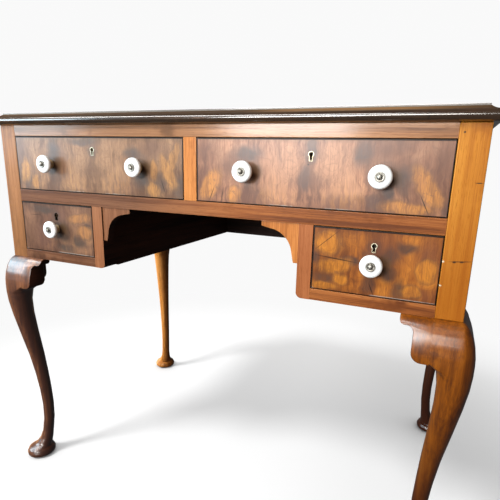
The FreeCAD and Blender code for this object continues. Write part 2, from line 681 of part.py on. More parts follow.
class Drawer:
    """One drawer with its knobs and lock, in an opening given by its middle, half-width, floor and height."""

    def __init__(self, name, centre, half_opening, floor, opening_height, knob_offsets):
        self.name = name
        self.centre = centre
        self.floor = floor
        self.knob_offsets = knob_offsets
        self.half = f"({half_opening} - drawer_gap)"
        self.inner_half = f"({self.half} - drawer_side_thickness)"
        self.top = f"({opening_height} - drawer_gap)"
        self.side_height = f"({self.top} - drawer_side_drop)"
        self.knob_height = f"({opening_height} / 2)"
        self.keyhole_height = f"({opening_height} - keyhole_drop)"

    def body(self, name, x="0", y="0", z="0"):
        return body(f"{self.name}_{name}", f"{self.centre} + {x}", f"{FRONT} + {y}", f"{self.floor} + {z}")

    def board(self, name, x, y, z):
        shifted = [[f"{start} + {place}" for place in span]
                   for start, span in zip((self.centre, FRONT, self.floor), (x, y, z))]
        return board(f"{self.name}_{name}", *shifted)

    def dovetails(self):
        """Lower and upper edge of each tail, at its root and at its tip."""
        for middle_share, half_share in DOVETAIL_SHARES:
            low = f"{self.side_height} * {middle_share - half_share}"
            high = f"{self.side_height} * {middle_share + half_share}"
            yield (low, high), (f"{low} - dovetail_flare", f"{high} + dovetail_flare")

    def front(self):
        piece = self.body("drawer_front")
        back_face = "-drawer_front_thickness"
        face = rectangle(piece, "XZ_Plane", (f"-{self.half}", self.half), ("drawer_gap", self.top))
        pad(piece, face, "drawer_front_thickness", reverse=True)
        for offset in self.knob_offsets:
            hole = circle(piece, "XZ_Plane", (offset, self.knob_height), "knob_bore_radius")
            pocket(piece, hole, "drawer_front_thickness + overrun")
        at_keyhole = ("0", self.keyhole_height, "0")
        pocket(piece, outline(piece, "XZ_Plane", keyhole(), at_keyhole), "drawer_front_thickness + overrun")
        seat = keyhole("escutcheon_rim + escutcheon_clearance")
        pocket(piece, outline(piece, "XZ_Plane", seat, at_keyhole), "escutcheon_depth - escutcheon_proud")
        lock_span = ("-lock_width / 2", "lock_width / 2")
        lock_rise = (f"{self.top} - lock_height", f"{self.top} + overrun")
        lock_seat = rectangle(piece, "XZ_Plane", lock_span, lock_rise, ("0", "0", back_face))
        pocket(piece, lock_seat, "lock_depth", reverse=True)
        groove_half = f"({self.inner_half} + groove_depth)"
        groove_rise = ("drawer_bottom_lift", "drawer_bottom_lift + drawer_bottom_thickness")
        groove_span = (f"-{groove_half}", groove_half)
        groove = rectangle(piece, "XZ_Plane", groove_span, groove_rise, ("0", "0", back_face))
        pocket(piece, groove, "groove_depth", reverse=True)
        for end, inward in ((f"-{self.half}", True), (self.half, False)):
            for (root_low, root_high), (tip_low, tip_high) in self.dovetails():
                socket = (("drawer_front_thickness", root_low), ("drawer_front_thickness", root_high),
                          ("dovetail_lap", tip_high), ("dovetail_lap", tip_low))
                cut = outline(piece, "YZ_Plane", socket, ("0", "0", end))
                pocket(piece, cut, "drawer_side_thickness", reverse=inward)
        return piece

    def sides(self):
        left = self.body("drawer_left_side", x=f"-{self.half}")
        face = [("drawer_front_thickness", "0"), (DRAWER_LENGTH, "0"),
                (DRAWER_LENGTH, self.side_height), ("drawer_front_thickness", self.side_height)]
        for (root_low, root_high), (tip_low, tip_high) in reversed(list(self.dovetails())):
            face += [("drawer_front_thickness", root_high), ("dovetail_lap", tip_high),
                     ("dovetail_lap", tip_low), ("drawer_front_thickness", root_low)]
        pad(left, outline(left, "YZ_Plane", face), "drawer_side_thickness")
        groove_span = ("drawer_front_thickness - groove_depth", f"{DRAWER_LENGTH} + overrun")
        groove_rise = ("drawer_bottom_lift", "drawer_bottom_lift + drawer_bottom_thickness")
        groove = rectangle(left, "YZ_Plane", groove_span, groove_rise, ("0", "0", "drawer_side_thickness"))
        pocket(left, groove, "groove_depth")
        right = mirrored(f"{self.name}_drawer_right_side", left, (1, 0, 0), self.centre)
        return left, right

    def back(self):
        rise = ("drawer_bottom_lift + drawer_bottom_thickness", f"{self.side_height} - drawer_back_drop")
        return self.board("drawer_back", (f"-{self.inner_half}", self.inner_half),
                          (f"{DRAWER_LENGTH} - drawer_back_thickness", DRAWER_LENGTH), rise)

    def bottom(self):
        half = f"({self.inner_half} + groove_depth)"
        return self.board("drawer_bottom", (f"-{half}", half),
                          ("drawer_front_thickness - groove_depth", DRAWER_LENGTH),
                          ("drawer_bottom_lift", "drawer_bottom_lift + drawer_bottom_thickness"))

    def knob(self, index, offset):
        piece = self.body(f"knob_{index}", x=offset, z=self.knob_height)
        round_radius = "(knob_rim_thickness / 2)"
        face_edge = (f"(knob_radius - {round_radius})", "-knob_length")
        rim = ("knob_radius", f"({round_radius} - knob_length)")
        rim_back = (face_edge[0], "(knob_rim_thickness - knob_length)")
        neck = ("knob_neck_radius", "-knob_neck_length")
        bow = f"{round_radius} * {QUARTER_BOW_SHARE}"
        profile = (
            ("knob_bore_radius", "-knob_length"),
            face_edge,
            *bowed(face_edge, rim, (bow, f"-{bow}")),
            *bowed(rim, rim_back, (bow, bow)),
            *bowed(rim_back, neck, ("-knob_neck_hollow", "0")),
            ("knob_base_radius", "0"),
            ("knob_bore_radius", "0"),
        )
        revolve(piece, outline(piece, "XY_Plane", profile))
        return piece

    def knob_bolt(self, index, offset):
        piece = self.body(f"knob_bolt_{index}", x=offset, z=self.knob_height)
        washer = "-(knob_length + bolt_washer_thickness)"
        dome_top = ("bolt_dome_radius / 2", f"{washer} - bolt_dome_height")
        dome_edge = ("bolt_dome_radius", washer)
        tail = "(drawer_front_thickness + nut_thickness + bolt_tail)"
        profile = (
            ("0", dome_top[1]),
            dome_top,
            *bowed(dome_top, dome_edge, ("bolt_dome_bow", "-bolt_dome_bow")),
            ("bolt_washer_radius", washer),
            ("bolt_washer_radius", "-knob_length"),
            ("bolt_radius", "-knob_length"),
            ("bolt_radius", tail),
            ("0", tail),
        )
        revolve(piece, outline(piece, "XY_Plane", profile))
        return piece

    def knob_nut(self, index, offset):
        piece = self.body(f"knob_nut_{index}", x=offset, y="drawer_front_thickness", z=self.knob_height)
        span = ("-nut_width / 2", "nut_width / 2")
        pad(piece, rectangle(piece, "XZ_Plane", span, span), "nut_thickness", reverse=True)
        hole = circle(piece, "XZ_Plane", ("0", "0"), "bolt_radius + nut_clearance")
        pocket(piece, hole, "nut_thickness + overrun")
        return piece

    def escutcheon(self):
        piece = self.body("escutcheon", z=self.keyhole_height)
        proud = ("0", "0", "escutcheon_proud")
        plate = outline(piece, "XZ_Plane", keyhole("escutcheon_rim"), proud)
        pad(piece, plate, "escutcheon_depth", reverse=True)
        pocket(piece, outline(piece, "XZ_Plane", keyhole(), proud), "escutcheon_depth + overrun")
        return piece

    def lock(self):
        piece = self.body("lock")
        front_face = ("0", "0", "lock_depth - drawer_front_thickness")
        case = rectangle(piece, "XZ_Plane", ("-lock_width / 2", "lock_width / 2"),
                         (f"{self.top} - lock_height", self.top), front_face)
        pad(piece, case, "lock_depth", reverse=True)
        half_width = "(lock_bolt_width / 2 + lock_bolt_clearance)"
        half_thickness = "(lock_bolt_thickness / 2 + lock_bolt_clearance)"
        bolt_line = "(drawer_front_thickness - lock_depth / 2)"
        slot = rectangle(piece, "XY_Plane", (f"-{half_width}", half_width),
                         (f"{bolt_line} - {half_thickness}", f"{bolt_line} + {half_thickness}"),
                         ("0", "0", self.top))
        pocket(piece, slot, "lock_bolt_length")
        key_mouth = outline(piece, "XZ_Plane", keyhole(), ("0", self.keyhole_height, front_face[2]))
        pocket(piece, key_mouth, "lock_depth - lock_cap_thickness")
        return piece

    def lock_bolt(self):
        front_face = "drawer_front_thickness - lock_depth / 2 - lock_bolt_thickness / 2"
        return self.board("lock_bolt", ("-lock_bolt_width / 2", "lock_bolt_width / 2"),
                          (front_face, f"{front_face} + lock_bolt_thickness"),
                          (f"{self.top} - lock_bolt_length", self.top))

    def make(self):
        bolts = []
        knobs = []
        for index, offset in enumerate(self.knob_offsets, start=1):
            knobs.append(self.knob(index, offset))
            bolts += [self.knob_bolt(index, offset), self.knob_nut(index, offset)]
        keep(f"{self.name}_drawer_front", self.front())
        keep(f"{self.name}_drawer_sides", *self.sides())
        keep(f"{self.name}_drawer_back", self.back())
        keep(f"{self.name}_drawer_bottom", self.bottom())
        keep(f"{self.name}_knobs" if len(knobs) > 1 else f"{self.name}_knob", *knobs)
        keep(f"{self.name}_knob_bolts", *bolts)
        keep(f"{self.name}_escutcheon", self.escutcheon())
        keep(f"{self.name}_lock", self.lock())
        keep(f"{self.name}_lock_bolt", self.lock_bolt())


def drawers():
    pair = ("-upper_knob_spacing / 2", "upper_knob_spacing / 2")
    upper = (UPPER_HALF, UPPER_FLOOR, "upper_opening_height", pair)
    lower = (LOWER_HALF, LOWER_FLOOR, "lower_opening_height", ("0",))
    Drawer("upper_left", f"-{UPPER_CENTRE}", *upper).make()
    Drawer("upper_right", UPPER_CENTRE, *upper).make()
    Drawer("lower_left", f"-{LOWER_CENTRE}", *lower).make()
    Drawer("lower_right", LOWER_CENTRE, *lower).make()


# The desk

legs_and_brackets()
carcass_frame()
carcass_panels()
runners_and_kickers()
top()
drawers()
doc.recompute()

for thing in doc.Objects:
    if {"Invalid", "Error"} & set(thing.State):
        raise RuntimeError(f"{thing.Label} did not build: {thing.State}")
for name, node in nodes.items():
    if node.Shape.isNull() or not node.Shape.isValid():
        raise RuntimeError(f"{name} has no valid shape")

os.makedirs("parts", exist_ok=True)
for name, node in nodes.items():
    node.Shape.exportStep(f"parts/{name}.step")
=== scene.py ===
"""A walnut kneehole desk: burr-veneered drawers, a moulded top, cabriole legs and white glazed knobs."""

import math

import bmesh
import bpy
from mathutils import Matrix, Vector


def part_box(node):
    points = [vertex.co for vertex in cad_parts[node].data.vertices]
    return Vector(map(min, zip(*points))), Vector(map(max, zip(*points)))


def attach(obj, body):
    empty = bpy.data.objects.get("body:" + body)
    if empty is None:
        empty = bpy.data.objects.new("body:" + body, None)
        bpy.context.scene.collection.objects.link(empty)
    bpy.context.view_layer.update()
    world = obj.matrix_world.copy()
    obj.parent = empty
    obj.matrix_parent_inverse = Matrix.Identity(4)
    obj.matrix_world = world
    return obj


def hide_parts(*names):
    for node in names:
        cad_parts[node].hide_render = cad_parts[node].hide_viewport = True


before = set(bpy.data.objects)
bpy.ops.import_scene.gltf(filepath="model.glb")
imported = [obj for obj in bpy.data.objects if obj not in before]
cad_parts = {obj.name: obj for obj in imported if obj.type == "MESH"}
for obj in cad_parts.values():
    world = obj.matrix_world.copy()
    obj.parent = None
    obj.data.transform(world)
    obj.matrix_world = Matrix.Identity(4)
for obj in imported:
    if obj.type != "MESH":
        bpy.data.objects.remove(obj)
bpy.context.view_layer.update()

MM = 0.001
TURN = 2 * math.pi

# Places on the frame that the shaped pieces follow
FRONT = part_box("top_rail")[0].y
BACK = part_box("back_panel")[1].y
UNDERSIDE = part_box("lower_rails")[0].z
POST_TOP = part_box("top_rail")[1].z
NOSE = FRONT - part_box("top_front_moulding")[0].y
BOARD_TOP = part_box("top_board")[1].z
KNEE_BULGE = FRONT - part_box("front_right_leg")[0].y
HALF_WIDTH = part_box("front_right_leg")[1].x - KNEE_BULGE
POST = HALF_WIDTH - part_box("top_rail")[1].x
KNEE_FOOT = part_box("front_right_knee_brackets")[0].z
KNEE_DROP = UNDERSIDE - KNEE_FOOT
EAR_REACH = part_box("top_rail")[1].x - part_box("front_right_knee_brackets")[0].x
EAR_SEAT = HALF_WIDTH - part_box("rear_right_knee_bracket")[0].x

# Where finishes change: across the front, where the left end is painted darker as shade, down the posts and
# down the legs
LEFT_SHADE_BLEND = 0.15
DUSK_HEIGHTS = (0.50, 0.68)
SHAFT_DUSK = (0.09, 0.41)

# How far a leg's surface has to face the window, or away from it, to take painted light or painted shade
TO_WINDOW = (0.2, 0.8)
FROM_WINDOW = (0.0, 0.8)

# Heights of the hollow and the fillet round the top, and the stretch of the hollow where a golden reflection
# is painted
HOLLOW_FOOT = (BOARD_TOP - 9 * MM, BOARD_TOP - 6 * MM)
FILLET_FOOT = (BOARD_TOP - 2.7 * MM, BOARD_TOP - 2.3 * MM)
FILLET_HEAD = (BOARD_TOP - 0.5 * MM, BOARD_TOP - 0.2 * MM)
REFLECTION_STRETCH = (0.08, 0.18, 0.30, 0.45)

# Distances from a drawer front's edges where painted shade and wear begin and end, and the gap's painted
# shadow, and how deep its veneer goes
EDGE_SHADE = (-9 * MM, 0.0)
EDGE_WEAR = (-2.6 * MM, -1.8 * MM)
GAP_SHADOW = (-1.3 * MM, -0.9 * MM)
SIDE_GAP_SHADOW = (-2.4 * MM, -1.7 * MM)
VENEER_DEPTH = (1.0 * MM, 1.4 * MM)

# How deep into the back panel the kneehole's painted shade goes, and how deep the ovals of a figure go
KNEEHOLE_SHADE_DEPTH = (1 * MM, 3 * MM)
SPOT_DEPTH = 30 * MM

# Handling marks round the knobs and keyholes, partly painted shade, and painted shadows cast by the knobs,
# in millimetres
KNOB_HALO = 22
KEY_HALO = 11
KNOB_SHADOW = 11
KNOB_SHADOW_SHIFT = 15

# The range that a noise keeps to, and where plain walnut shows its middle colour
NOISE_RANGE = (0.32, 0.68)
FIGURE_MIDDLE = 0.54

# Where the Mix node keeps its colours
FIRST_COLOUR = 6
SECOND_COLOUR = 7
MIXED_COLOUR = 2

DRAWERS = ("upper_left", "upper_right", "lower_left", "lower_right")
KNOB_RADIUS = 16.5 * MM


def knob_centres(drawer):
    """Where the knobs' axes meet the drawer front's face."""
    node = f"{drawer}_knobs" if "upper" in drawer else f"{drawer}_knob"
    low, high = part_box(node)
    xs = (low.x + KNOB_RADIUS, high.x - KNOB_RADIUS) if "upper" in drawer else ((low.x + high.x) / 2,)
    return node, [Vector((x, FRONT, (low.z + high.z) / 2)) for x in xs]


class Tone:
    """A socket of a finish. Sums written with it become Math nodes of that finish."""

    def __init__(self, finish, socket):
        self.finish = finish
        self.socket = socket

    def sum(self, operation, first, second):
        return self.finish.node("ShaderNodeMath", {"operation": operation}, {0: first, 1: second})

    def __add__(self, other):
        return self.sum("ADD", self, other)

    def __radd__(self, other):
        return self.sum("ADD", other, self)

    def __sub__(self, other):
        return self.sum("SUBTRACT", self, other)

    def __rsub__(self, other):
        return self.sum("SUBTRACT", other, self)

    def __mul__(self, other):
        return self.sum("MULTIPLY", self, other)

    def __rmul__(self, other):
        return self.sum("MULTIPLY", other, self)

    def over(self, other):
        """The greater of the two."""
        return self.sum("MAXIMUM", self, other)


class Finish:
    """One finish of the desk, built up from nodes on the piece's own coordinates."""

    def __init__(self, name):
        self.material = bpy.data.materials.new(name)
        self.material.use_nodes = True
        self.tree = self.material.node_tree
        self.tree.nodes.clear()
        self.here = self.node("ShaderNodeTexCoord", output="Object")
        self.arris = self.node("ShaderNodeAttribute", {"attribute_name": "arris"}, output="Fac")

    def node(self, kind, settings=None, sockets=None, output=0):
        """A node of that kind: its settings first, then the values or links of its sockets.

        It gives back one output, several where a tuple names them, or none."""
        made = self.tree.nodes.new(kind)
        for setting, value in (settings or {}).items():
            if setting == "stops":
                self.set_stops(made.color_ramp, value)
            else:
                setattr(made, setting, value)
        for socket, value in (sockets or {}).items():
            if isinstance(value, Tone):
                self.tree.links.new(value.socket, made.inputs[socket])
            else:
                made.inputs[socket].default_value = value
        if isinstance(output, tuple):
            return [Tone(self, made.outputs[name]) for name in output]
        return None if output is None else Tone(self, made.outputs[output])

    def set_stops(self, ramp, stops):
        while len(ramp.elements) < len(stops):
            ramp.elements.new(1.0)
        for element, (place, colour) in zip(ramp.elements, stops):
            element.position = place
            element.color = colour

    def scaled(self, x, y, z, start=None):
        return self.vector("MULTIPLY", start or self.here, (x, y, z))

    def along(self, axis, lengthwise, crosswise):
        """Coordinates stretched with the grain, which runs along one axis."""
        scale = [crosswise] * 3
        scale["xyz".index(axis)] = lengthwise
        return self.scaled(*scale)

    def vector(self, operation, first, second=None, output=0):
        sockets = {0: first}
        if second is not None:
            sockets[1] = second
        return self.node("ShaderNodeVectorMath", {"operation": operation}, sockets, output)

    def noise(self, place, scale=1.0, detail=2.0, roughness=0.5, distortion=0.0, output=0):
        sockets = {
            "Vector": place,
            "Scale": scale,
            "Detail": detail,
            "Roughness": roughness,
            "Distortion": distortion,
        }
        return self.node("ShaderNodeTexNoise", {}, sockets, output)

    def wander(self, place, scale, reach):
        """The place, moved about by a soft noise of that reach."""
        drift = self.vector("SUBTRACT", self.noise(place, scale, output="Color"), (0.5, 0.5, 0.5))
        return self.vector("ADD", place, self.vector("MULTIPLY", drift, (reach, reach, reach)))

    def step(self, value, low, high):
        """0 below low, 1 above high, and smooth between."""
        sockets = {"Value": value, "From Min": low, "From Max": high}
        return self.node("ShaderNodeMapRange", {"interpolation_type": "SMOOTHSTEP"}, sockets)

    def ramp(self, value, *stops):
        return self.node("ShaderNodeValToRGB", {"stops": stops}, {0: value})

    def mix(self, share, first, second):
        """The first colour, with that share of the second."""
        sockets = {0: share, FIRST_COLOUR: first, SECOND_COLOUR: second}
        return self.node("ShaderNodeMix", {"data_type": "RGBA", "clamp_factor": True}, sockets, MIXED_COLOUR)

    def split(self, place):
        return self.node("ShaderNodeSeparateXYZ", {}, {0: place}, ("X", "Y", "Z"))

    def spread(self, value):
        """A noise stretched to its full range."""
        return self.step(value, *NOISE_RANGE)

    def spot(self, place, oval, soft, face):
        """1 inside an oval on the face at that depth, fading to 0 past its edge."""
        x, z, half_width, half_height, lean = oval
        sockets = {
            "Vector": place,
            "Location": (x * MM, face, z * MM),
            "Rotation": (0.0, math.radians(lean), 0.0),
            "Scale": (half_width * MM, SPOT_DEPTH, half_height * MM),
        }
        local = self.node("ShaderNodeMapping", {"vector_type": "TEXTURE"}, sockets)
        return 1 - self.step(self.vector("LENGTH", local, output="Value"), 1 - soft, 1 + soft)

    def spots(self, place, ovals, soft, face):
        mask = self.spot(place, ovals[0], soft, face)
        for oval in ovals[1:]:
            mask = mask.over(self.spot(place, oval, soft, face))
        return mask

    def seal(self, colour, roughness, relief=None, depth=0.0, **constants):
        """Ends the finish with its shader, the relief pressed in as a bump of that depth."""
        sockets = {"Base Color": colour, "Roughness": roughness}
        for name, value in constants.items():
            sockets[name.replace("_", " ").title().replace("Ior", "IOR")] = value
        if relief is not None:
            sockets["Normal"] = self.node("ShaderNodeBump", {}, {"Distance": depth, "Height": relief})
        shader = self.node("ShaderNodeBsdfPrincipled", {}, sockets)
        self.node("ShaderNodeOutputMaterial", {}, {"Surface": shader}, output=None)
        return self.material


def straight_walnut(
    name, axis, right, left=None, polish=0.34, sheen=0.3, contrast=0.11, dusk=0.0, cracks=(), chips=()
):
    """Plain-sawn walnut: broad bands, growth lines, fibres and short dark pores along the grain."""
    wood = Finish(name)
    bands = wood.noise(wood.along(axis, 1.6, 13.0), detail=2.0, distortion=0.4)
    lines = wood.noise(wood.along(axis, 2.2, 120.0), detail=3.0, roughness=0.6)
    fibres = wood.noise(wood.along(axis, 16.0, 760.0), detail=2.0)
    pores = wood.step(wood.noise(wood.along(axis, 70.0, 1500.0), detail=1.0), 0.62, 0.72)
    rubbed = wood.noise(wood.here, 9.0, detail=4.0, roughness=0.65)
    figure = bands * 0.42 + lines * 0.40 + fibres * 0.26

    def board(pale, rich, deep):
        darkest = FIGURE_MIDDLE - contrast
        palest = FIGURE_MIDDLE + contrast
        plain = wood.ramp(figure, (darkest, deep), (FIGURE_MIDDLE, rich), (palest, pale))
        plain = wood.mix(pores * 0.55, plain, deep)
        plain = wood.mix(wood.step(rubbed, 0.58, 0.75) * 0.30, plain, pale)
        plain = wood.mix(1 - wood.step(rubbed, 0.30, 0.44), plain, deep)
        return wood.mix(wood.arris * (0.25 + rubbed * 0.5), plain, pale)

    colour = board(*right)
    # The left end takes a second, darker palette as painted shade
    if left:
        x = wood.split(wood.here)[0]
        colour = wood.mix(wood.step(x, -LEFT_SHADE_BLEND, LEFT_SHADE_BLEND), board(*left), colour)
    if dusk:
        low_down = 1 - wood.step(wood.split(wood.here)[2], *DUSK_HEIGHTS)
        colour = wood.mix(low_down * dusk, colour, right[-1])
    if cracks:
        colour = wood.mix(wood.spots(wood.here, cracks, 0.5, FRONT) * 0.9, colour, EBONY)
    if chips:
        colour = wood.mix(wood.spots(wood.here, chips, 0.6, FRONT) * 0.8, colour, CREAM)
    roughness = polish + fibres * 0.12 + rubbed * 0.14 + pores * 0.15
    relief = fibres * 0.5 - pores * 0.8 + lines * 0.4
    return wood.seal(
        colour, roughness, relief, depth=0.15 * MM,
        specular_ior_level=0.2, coat_weight=sheen, coat_roughness=0.16)


def polished_top(name, axis, marks):
    """The dark top and its mouldings: rubbed edges, a dull hollow with a golden reflection painted along one
    stretch, and a fillet painted light grey as a reflection.
    """
    wood = Finish(name)
    bands = wood.noise(wood.along(axis, 2.0, 30.0), detail=3.0, distortion=0.3)
    fibres = wood.noise(wood.along(axis, 14.0, 700.0), detail=2.0)
    streaks = wood.noise(wood.along(axis, 5.0, 180.0), detail=3.0, roughness=0.6)
    rubbed = wood.noise(wood.here, 12.0, detail=4.0, roughness=0.6)
    colour = wood.ramp(bands * 0.7 + fibres * 0.3, (0.32, EBONY), (0.50, TOBACCO), (0.68, UMBER))
    colour = wood.mix(wood.step(streaks * 0.6 + rubbed * 0.4, 0.53, 0.66) * 0.4, colour, RUSSET)
    colour = wood.mix(wood.arris * (0.1 + rubbed * 0.4), colour, RUSSET)
    colour = wood.mix(wood.spots(wood.here, marks, 0.5, FRONT - NOSE) * 0.9, colour, SOOT)
    across, _, height = wood.split(wood.here)
    above_hollow = wood.step(height, *FILLET_FOOT)
    hollow = wood.step(height, *HOLLOW_FOOT) * (1 - above_hollow)
    fillet = above_hollow * (1 - wood.step(height, *FILLET_HEAD))
    # Painted reflections: golden along one stretch of the hollow, light grey on the fillet
    worn = hollow * wood.step(across, *REFLECTION_STRETCH[:2]) * (1 - wood.step(across, *REFLECTION_STRETCH[2:]))
    colour = wood.mix(hollow * 0.5, colour, UMBER)
    colour = wood.mix(worn * (0.2 + streaks * 0.5), colour, OCHRE)
    colour = wood.mix(fillet * (0.25 + streaks * 0.3), colour, ASH)
    dull = hollow.over(fillet)
    roughness = 0.16 + fibres * 0.08 + rubbed * 0.12 + dull * 0.3
    return wood.seal(
        colour, roughness, fibres * 0.4 + rubbed * 0.25, depth=0.03 * MM,
        specular_ior_level=0.2, coat_weight=(1 - dull * 0.9) * 0.9, coat_roughness=0.16, coat_ior=2.0)


def leg_walnut(name, pale, rich, deep, dusk, sheen, painted_light, shade):
    """Carved leg: darker down the shaft, painted lighter where it faces the window at the left and painted
    darker as shade on the side away from it, with upright grain.
    """
    wood = Finish(name)
    height = wood.split(wood.here)[2]
    sideways = wood.split(wood.node("ShaderNodeTexCoord", output="Normal"))[0]
    bands = wood.noise(wood.along("z", 2.6, 32.0), detail=3.0, distortion=0.5)
    lines = wood.noise(wood.along("z", 3.5, 170.0), detail=3.0, roughness=0.6)
    fibres = wood.noise(wood.along("z", 14.0, 700.0), detail=2.0)
    marks = wood.noise(wood.here, 26.0, detail=4.0, roughness=0.7)
    pores = wood.step(wood.noise(wood.along("z", 60.0, 1400.0), detail=1.0), 0.63, 0.73)
    figure = bands * 0.45 + lines * 0.35 + fibres * 0.22
    colour = wood.ramp(figure, (0.36, deep), (0.53, rich), (0.70, pale))
    lower = 1 - wood.step(height, *SHAFT_DUSK)
    colour = wood.mix(lower * dusk, colour, deep)
    colour = wood.mix(wood.step(marks, 0.56, 0.70) * 0.5, colour, deep)
    colour = wood.mix(pores * 0.5, colour, EBONY)
    colour = wood.mix(wood.arris * 0.4, colour, deep)
    # Painted light on the side facing the window at the left, and painted shade on the side facing away
    colour = wood.mix(wood.step(0 - sideways, *TO_WINDOW) * (0.3 + bands * 0.7) * painted_light, colour, pale)
    colour = wood.mix(wood.step(sideways, *FROM_WINDOW) * shade, colour, deep)
    roughness = 0.22 + fibres * 0.10 + marks * 0.20
    return wood.seal(
        colour, roughness, fibres * 0.4 + marks * 0.8, depth=0.05 * MM,
        specular_ior_level=0.15, coat_weight=sheen, coat_roughness=0.28, coat_ior=1.65)


def burr_veneer(name, drawer, ground, figure):
    """Burr walnut on a drawer front: mirrored leaves, golden lobes edged with slate, and upright strokes."""
    veneer = Finish(name)
    low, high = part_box(f"{drawer}_drawer_front")
    middle = (low + high) / 2
    half = (high - low) / 2
    face = -half.y
    flat = veneer.vector("SUBTRACT", veneer.here, tuple(middle))
    curled = veneer.wander(veneer.wander(flat, 22.0, 17 * MM), 90.0, 6 * MM)
    leaf = veneer.vector("ABSOLUTE", veneer.vector("ADD", curled, (figure["joint"], 0, 1)))
    clouds = veneer.spread(veneer.noise(veneer.scaled(12.0, 1.0, 8.0, leaf), detail=4.0, distortion=0.6))
    swirls = veneer.spread(veneer.noise(veneer.scaled(38.0, 1.0, 22.0, leaf), detail=4.0, distortion=0.9))
    strokes = veneer.spread(veneer.noise(veneer.scaled(150.0, 1.0, 16.0, leaf), detail=4.0, roughness=0.65))
    fibres = veneer.spread(veneer.noise(veneer.scaled(650.0, 1.0, 40.0, flat), detail=2.0))
    eyes = veneer.noise(curled, 150.0, detail=2.0)
    gold = veneer.spots(curled, figure["gold"], 0.38, face)
    slate = veneer.spots(curled, figure["slate"], 0.55, face)
    plum = veneer.spots(curled, figure["plum"], 0.8, face)
    pale = veneer.spots(curled, figure["pale"], 0.8, face)
    across, depth, height = veneer.split(flat)
    low_down = 1 - veneer.step(height, -half.z, half.z * 0.2)

    tone = clouds * 0.42 + swirls * 0.26 + strokes * 0.32
    colour = veneer.ramp(tone, (0.20, ground["deep"]), (0.48, ground["rich"]), (0.80, ground["pale"]))
    colour = veneer.mix(plum * (0.60 + swirls * 0.25), colour, ground["plum"])
    colour = veneer.mix(pale * (0.30 + clouds * 0.30), colour, ground["pale"])
    flames = veneer.step(strokes * 0.6 + swirls * 0.4, 0.40, 0.90)
    colour = veneer.mix(low_down * flames * (0.08 + clouds * 0.38), colour, ground["gold"])
    colour = veneer.mix(slate * (0.55 + swirls * 0.40), colour, ground["slate"])
    colour = veneer.mix(gold * (1 - gold) * (1.0 + swirls * 1.4), colour, ground["slate"])
    colour = veneer.mix(gold * (0.30 + strokes * 0.55), colour, ground["gold"])
    contours = swirls * 14.0 + clouds * 12.0 + gold * 7.0 + strokes * 2.0
    lines = veneer.node("ShaderNodeMath", {"operation": "SINE"}, {0: contours})
    colour = veneer.mix(veneer.step(lines, 0.5, 1.0) * 0.22, colour, ground["deep"])
    colour = veneer.mix(veneer.step(eyes, 0.62, 0.74) * (0.12 + gold * 0.3), colour, ground["slate"])
    colour = veneer.mix(veneer.step(fibres, 0.55, 1.0) * 0.36, colour, ground["deep"])

    # Darker halos round the knobs and keyhole: handling marks, partly painted shade
    handled = [(centre.x - middle.x, centre.z - middle.z) for centre in knob_centres(drawer)[1]]
    halos = [(x / MM, z / MM, KNOB_HALO, KNOB_HALO, 0) for x, z in handled]
    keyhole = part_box(f"{drawer}_escutcheon")
    key_place = (keyhole[0] + keyhole[1]) / 2 - middle
    halos.append((key_place.x / MM, key_place.z / MM, KEY_HALO, KEY_HALO, 0))
    colour = veneer.mix(veneer.spots(flat, halos, 0.35, face) * (0.2 + eyes * 0.5), colour, ground["slate"])
    # Painted shadows cast by the knobs, to their right
    knob_shadows = [(x / MM + KNOB_SHADOW_SHIFT, z / MM, KNOB_SHADOW, KNOB_SHADOW, 0) for x, z in handled]
    colour = veneer.mix(veneer.spots(flat, knob_shadows, 0.6, face) * 0.75, colour, UMBER)
    colour = veneer.mix(veneer.spots(flat, figure["cracks"], 0.5, face) * 0.8, colour, SOOT)

    edge_x, _, edge_z = veneer.split(veneer.vector("SUBTRACT", veneer.vector("ABSOLUTE", flat), tuple(half)))
    edge = edge_x.over(edge_z)
    colour = veneer.mix(veneer.step(edge, *EDGE_SHADE) * (0.1 + eyes * 0.5), colour, ground["deep"])
    worn = veneer.step(edge_z, *EDGE_WEAR) * veneer.step(clouds * 0.6 + eyes * 0.4, 0.40, 0.60)
    colour = veneer.mix(worn * (0.15 + low_down * 0.35), colour, ASH)
    # The gap round the front painted as a near-black shadow, wider at the left and top, with no coat on it
    shaded = (-half.x - across).over(height - half.z)
    gap_shade = veneer.step(edge, *GAP_SHADOW).over(veneer.step(shaded, *SIDE_GAP_SHADOW))
    colour = veneer.mix(gap_shade * 0.95, colour, SOOT)
    core = veneer.ramp(fibres, (0.0, OAK_DEEP), (1.0, OAK))
    colour = veneer.mix(veneer.step(depth, *(face + deep for deep in VENEER_DEPTH)), colour, core)
    roughness = 0.30 + clouds * 0.08 + fibres * 0.06
    relief = fibres * 0.3 + strokes * 0.3 + swirls * 0.2
    return veneer.seal(
        colour, roughness, relief, depth=0.10 * MM,
        specular_ior_level=0.25, coat_weight=(1 - gap_shade) * ground["sheen"], coat_roughness=0.3)


def oak_grain(wood, axis):
    """The figure, the fibres and the dust of oak boards, and their colour before any dust."""
    bands = wood.noise(wood.along(axis, 2.0, 40.0), detail=3.0, distortion=0.3)
    fibres = wood.noise(wood.along(axis, 22.0, 900.0), detail=2.0)
    dust = wood.noise(wood.here, 11.0, detail=4.0, roughness=0.65)
    figure = bands * 0.6 + fibres * 0.4
    colour = wood.ramp(figure, (0.35, OAK_DEEP), (0.52, OAK), (0.68, OAK_PALE))
    return figure, fibres, dust, colour


def dusted(wood, dust, colour):
    return wood.mix(wood.step(dust, 0.52, 0.72) * 0.35, colour, ASH)


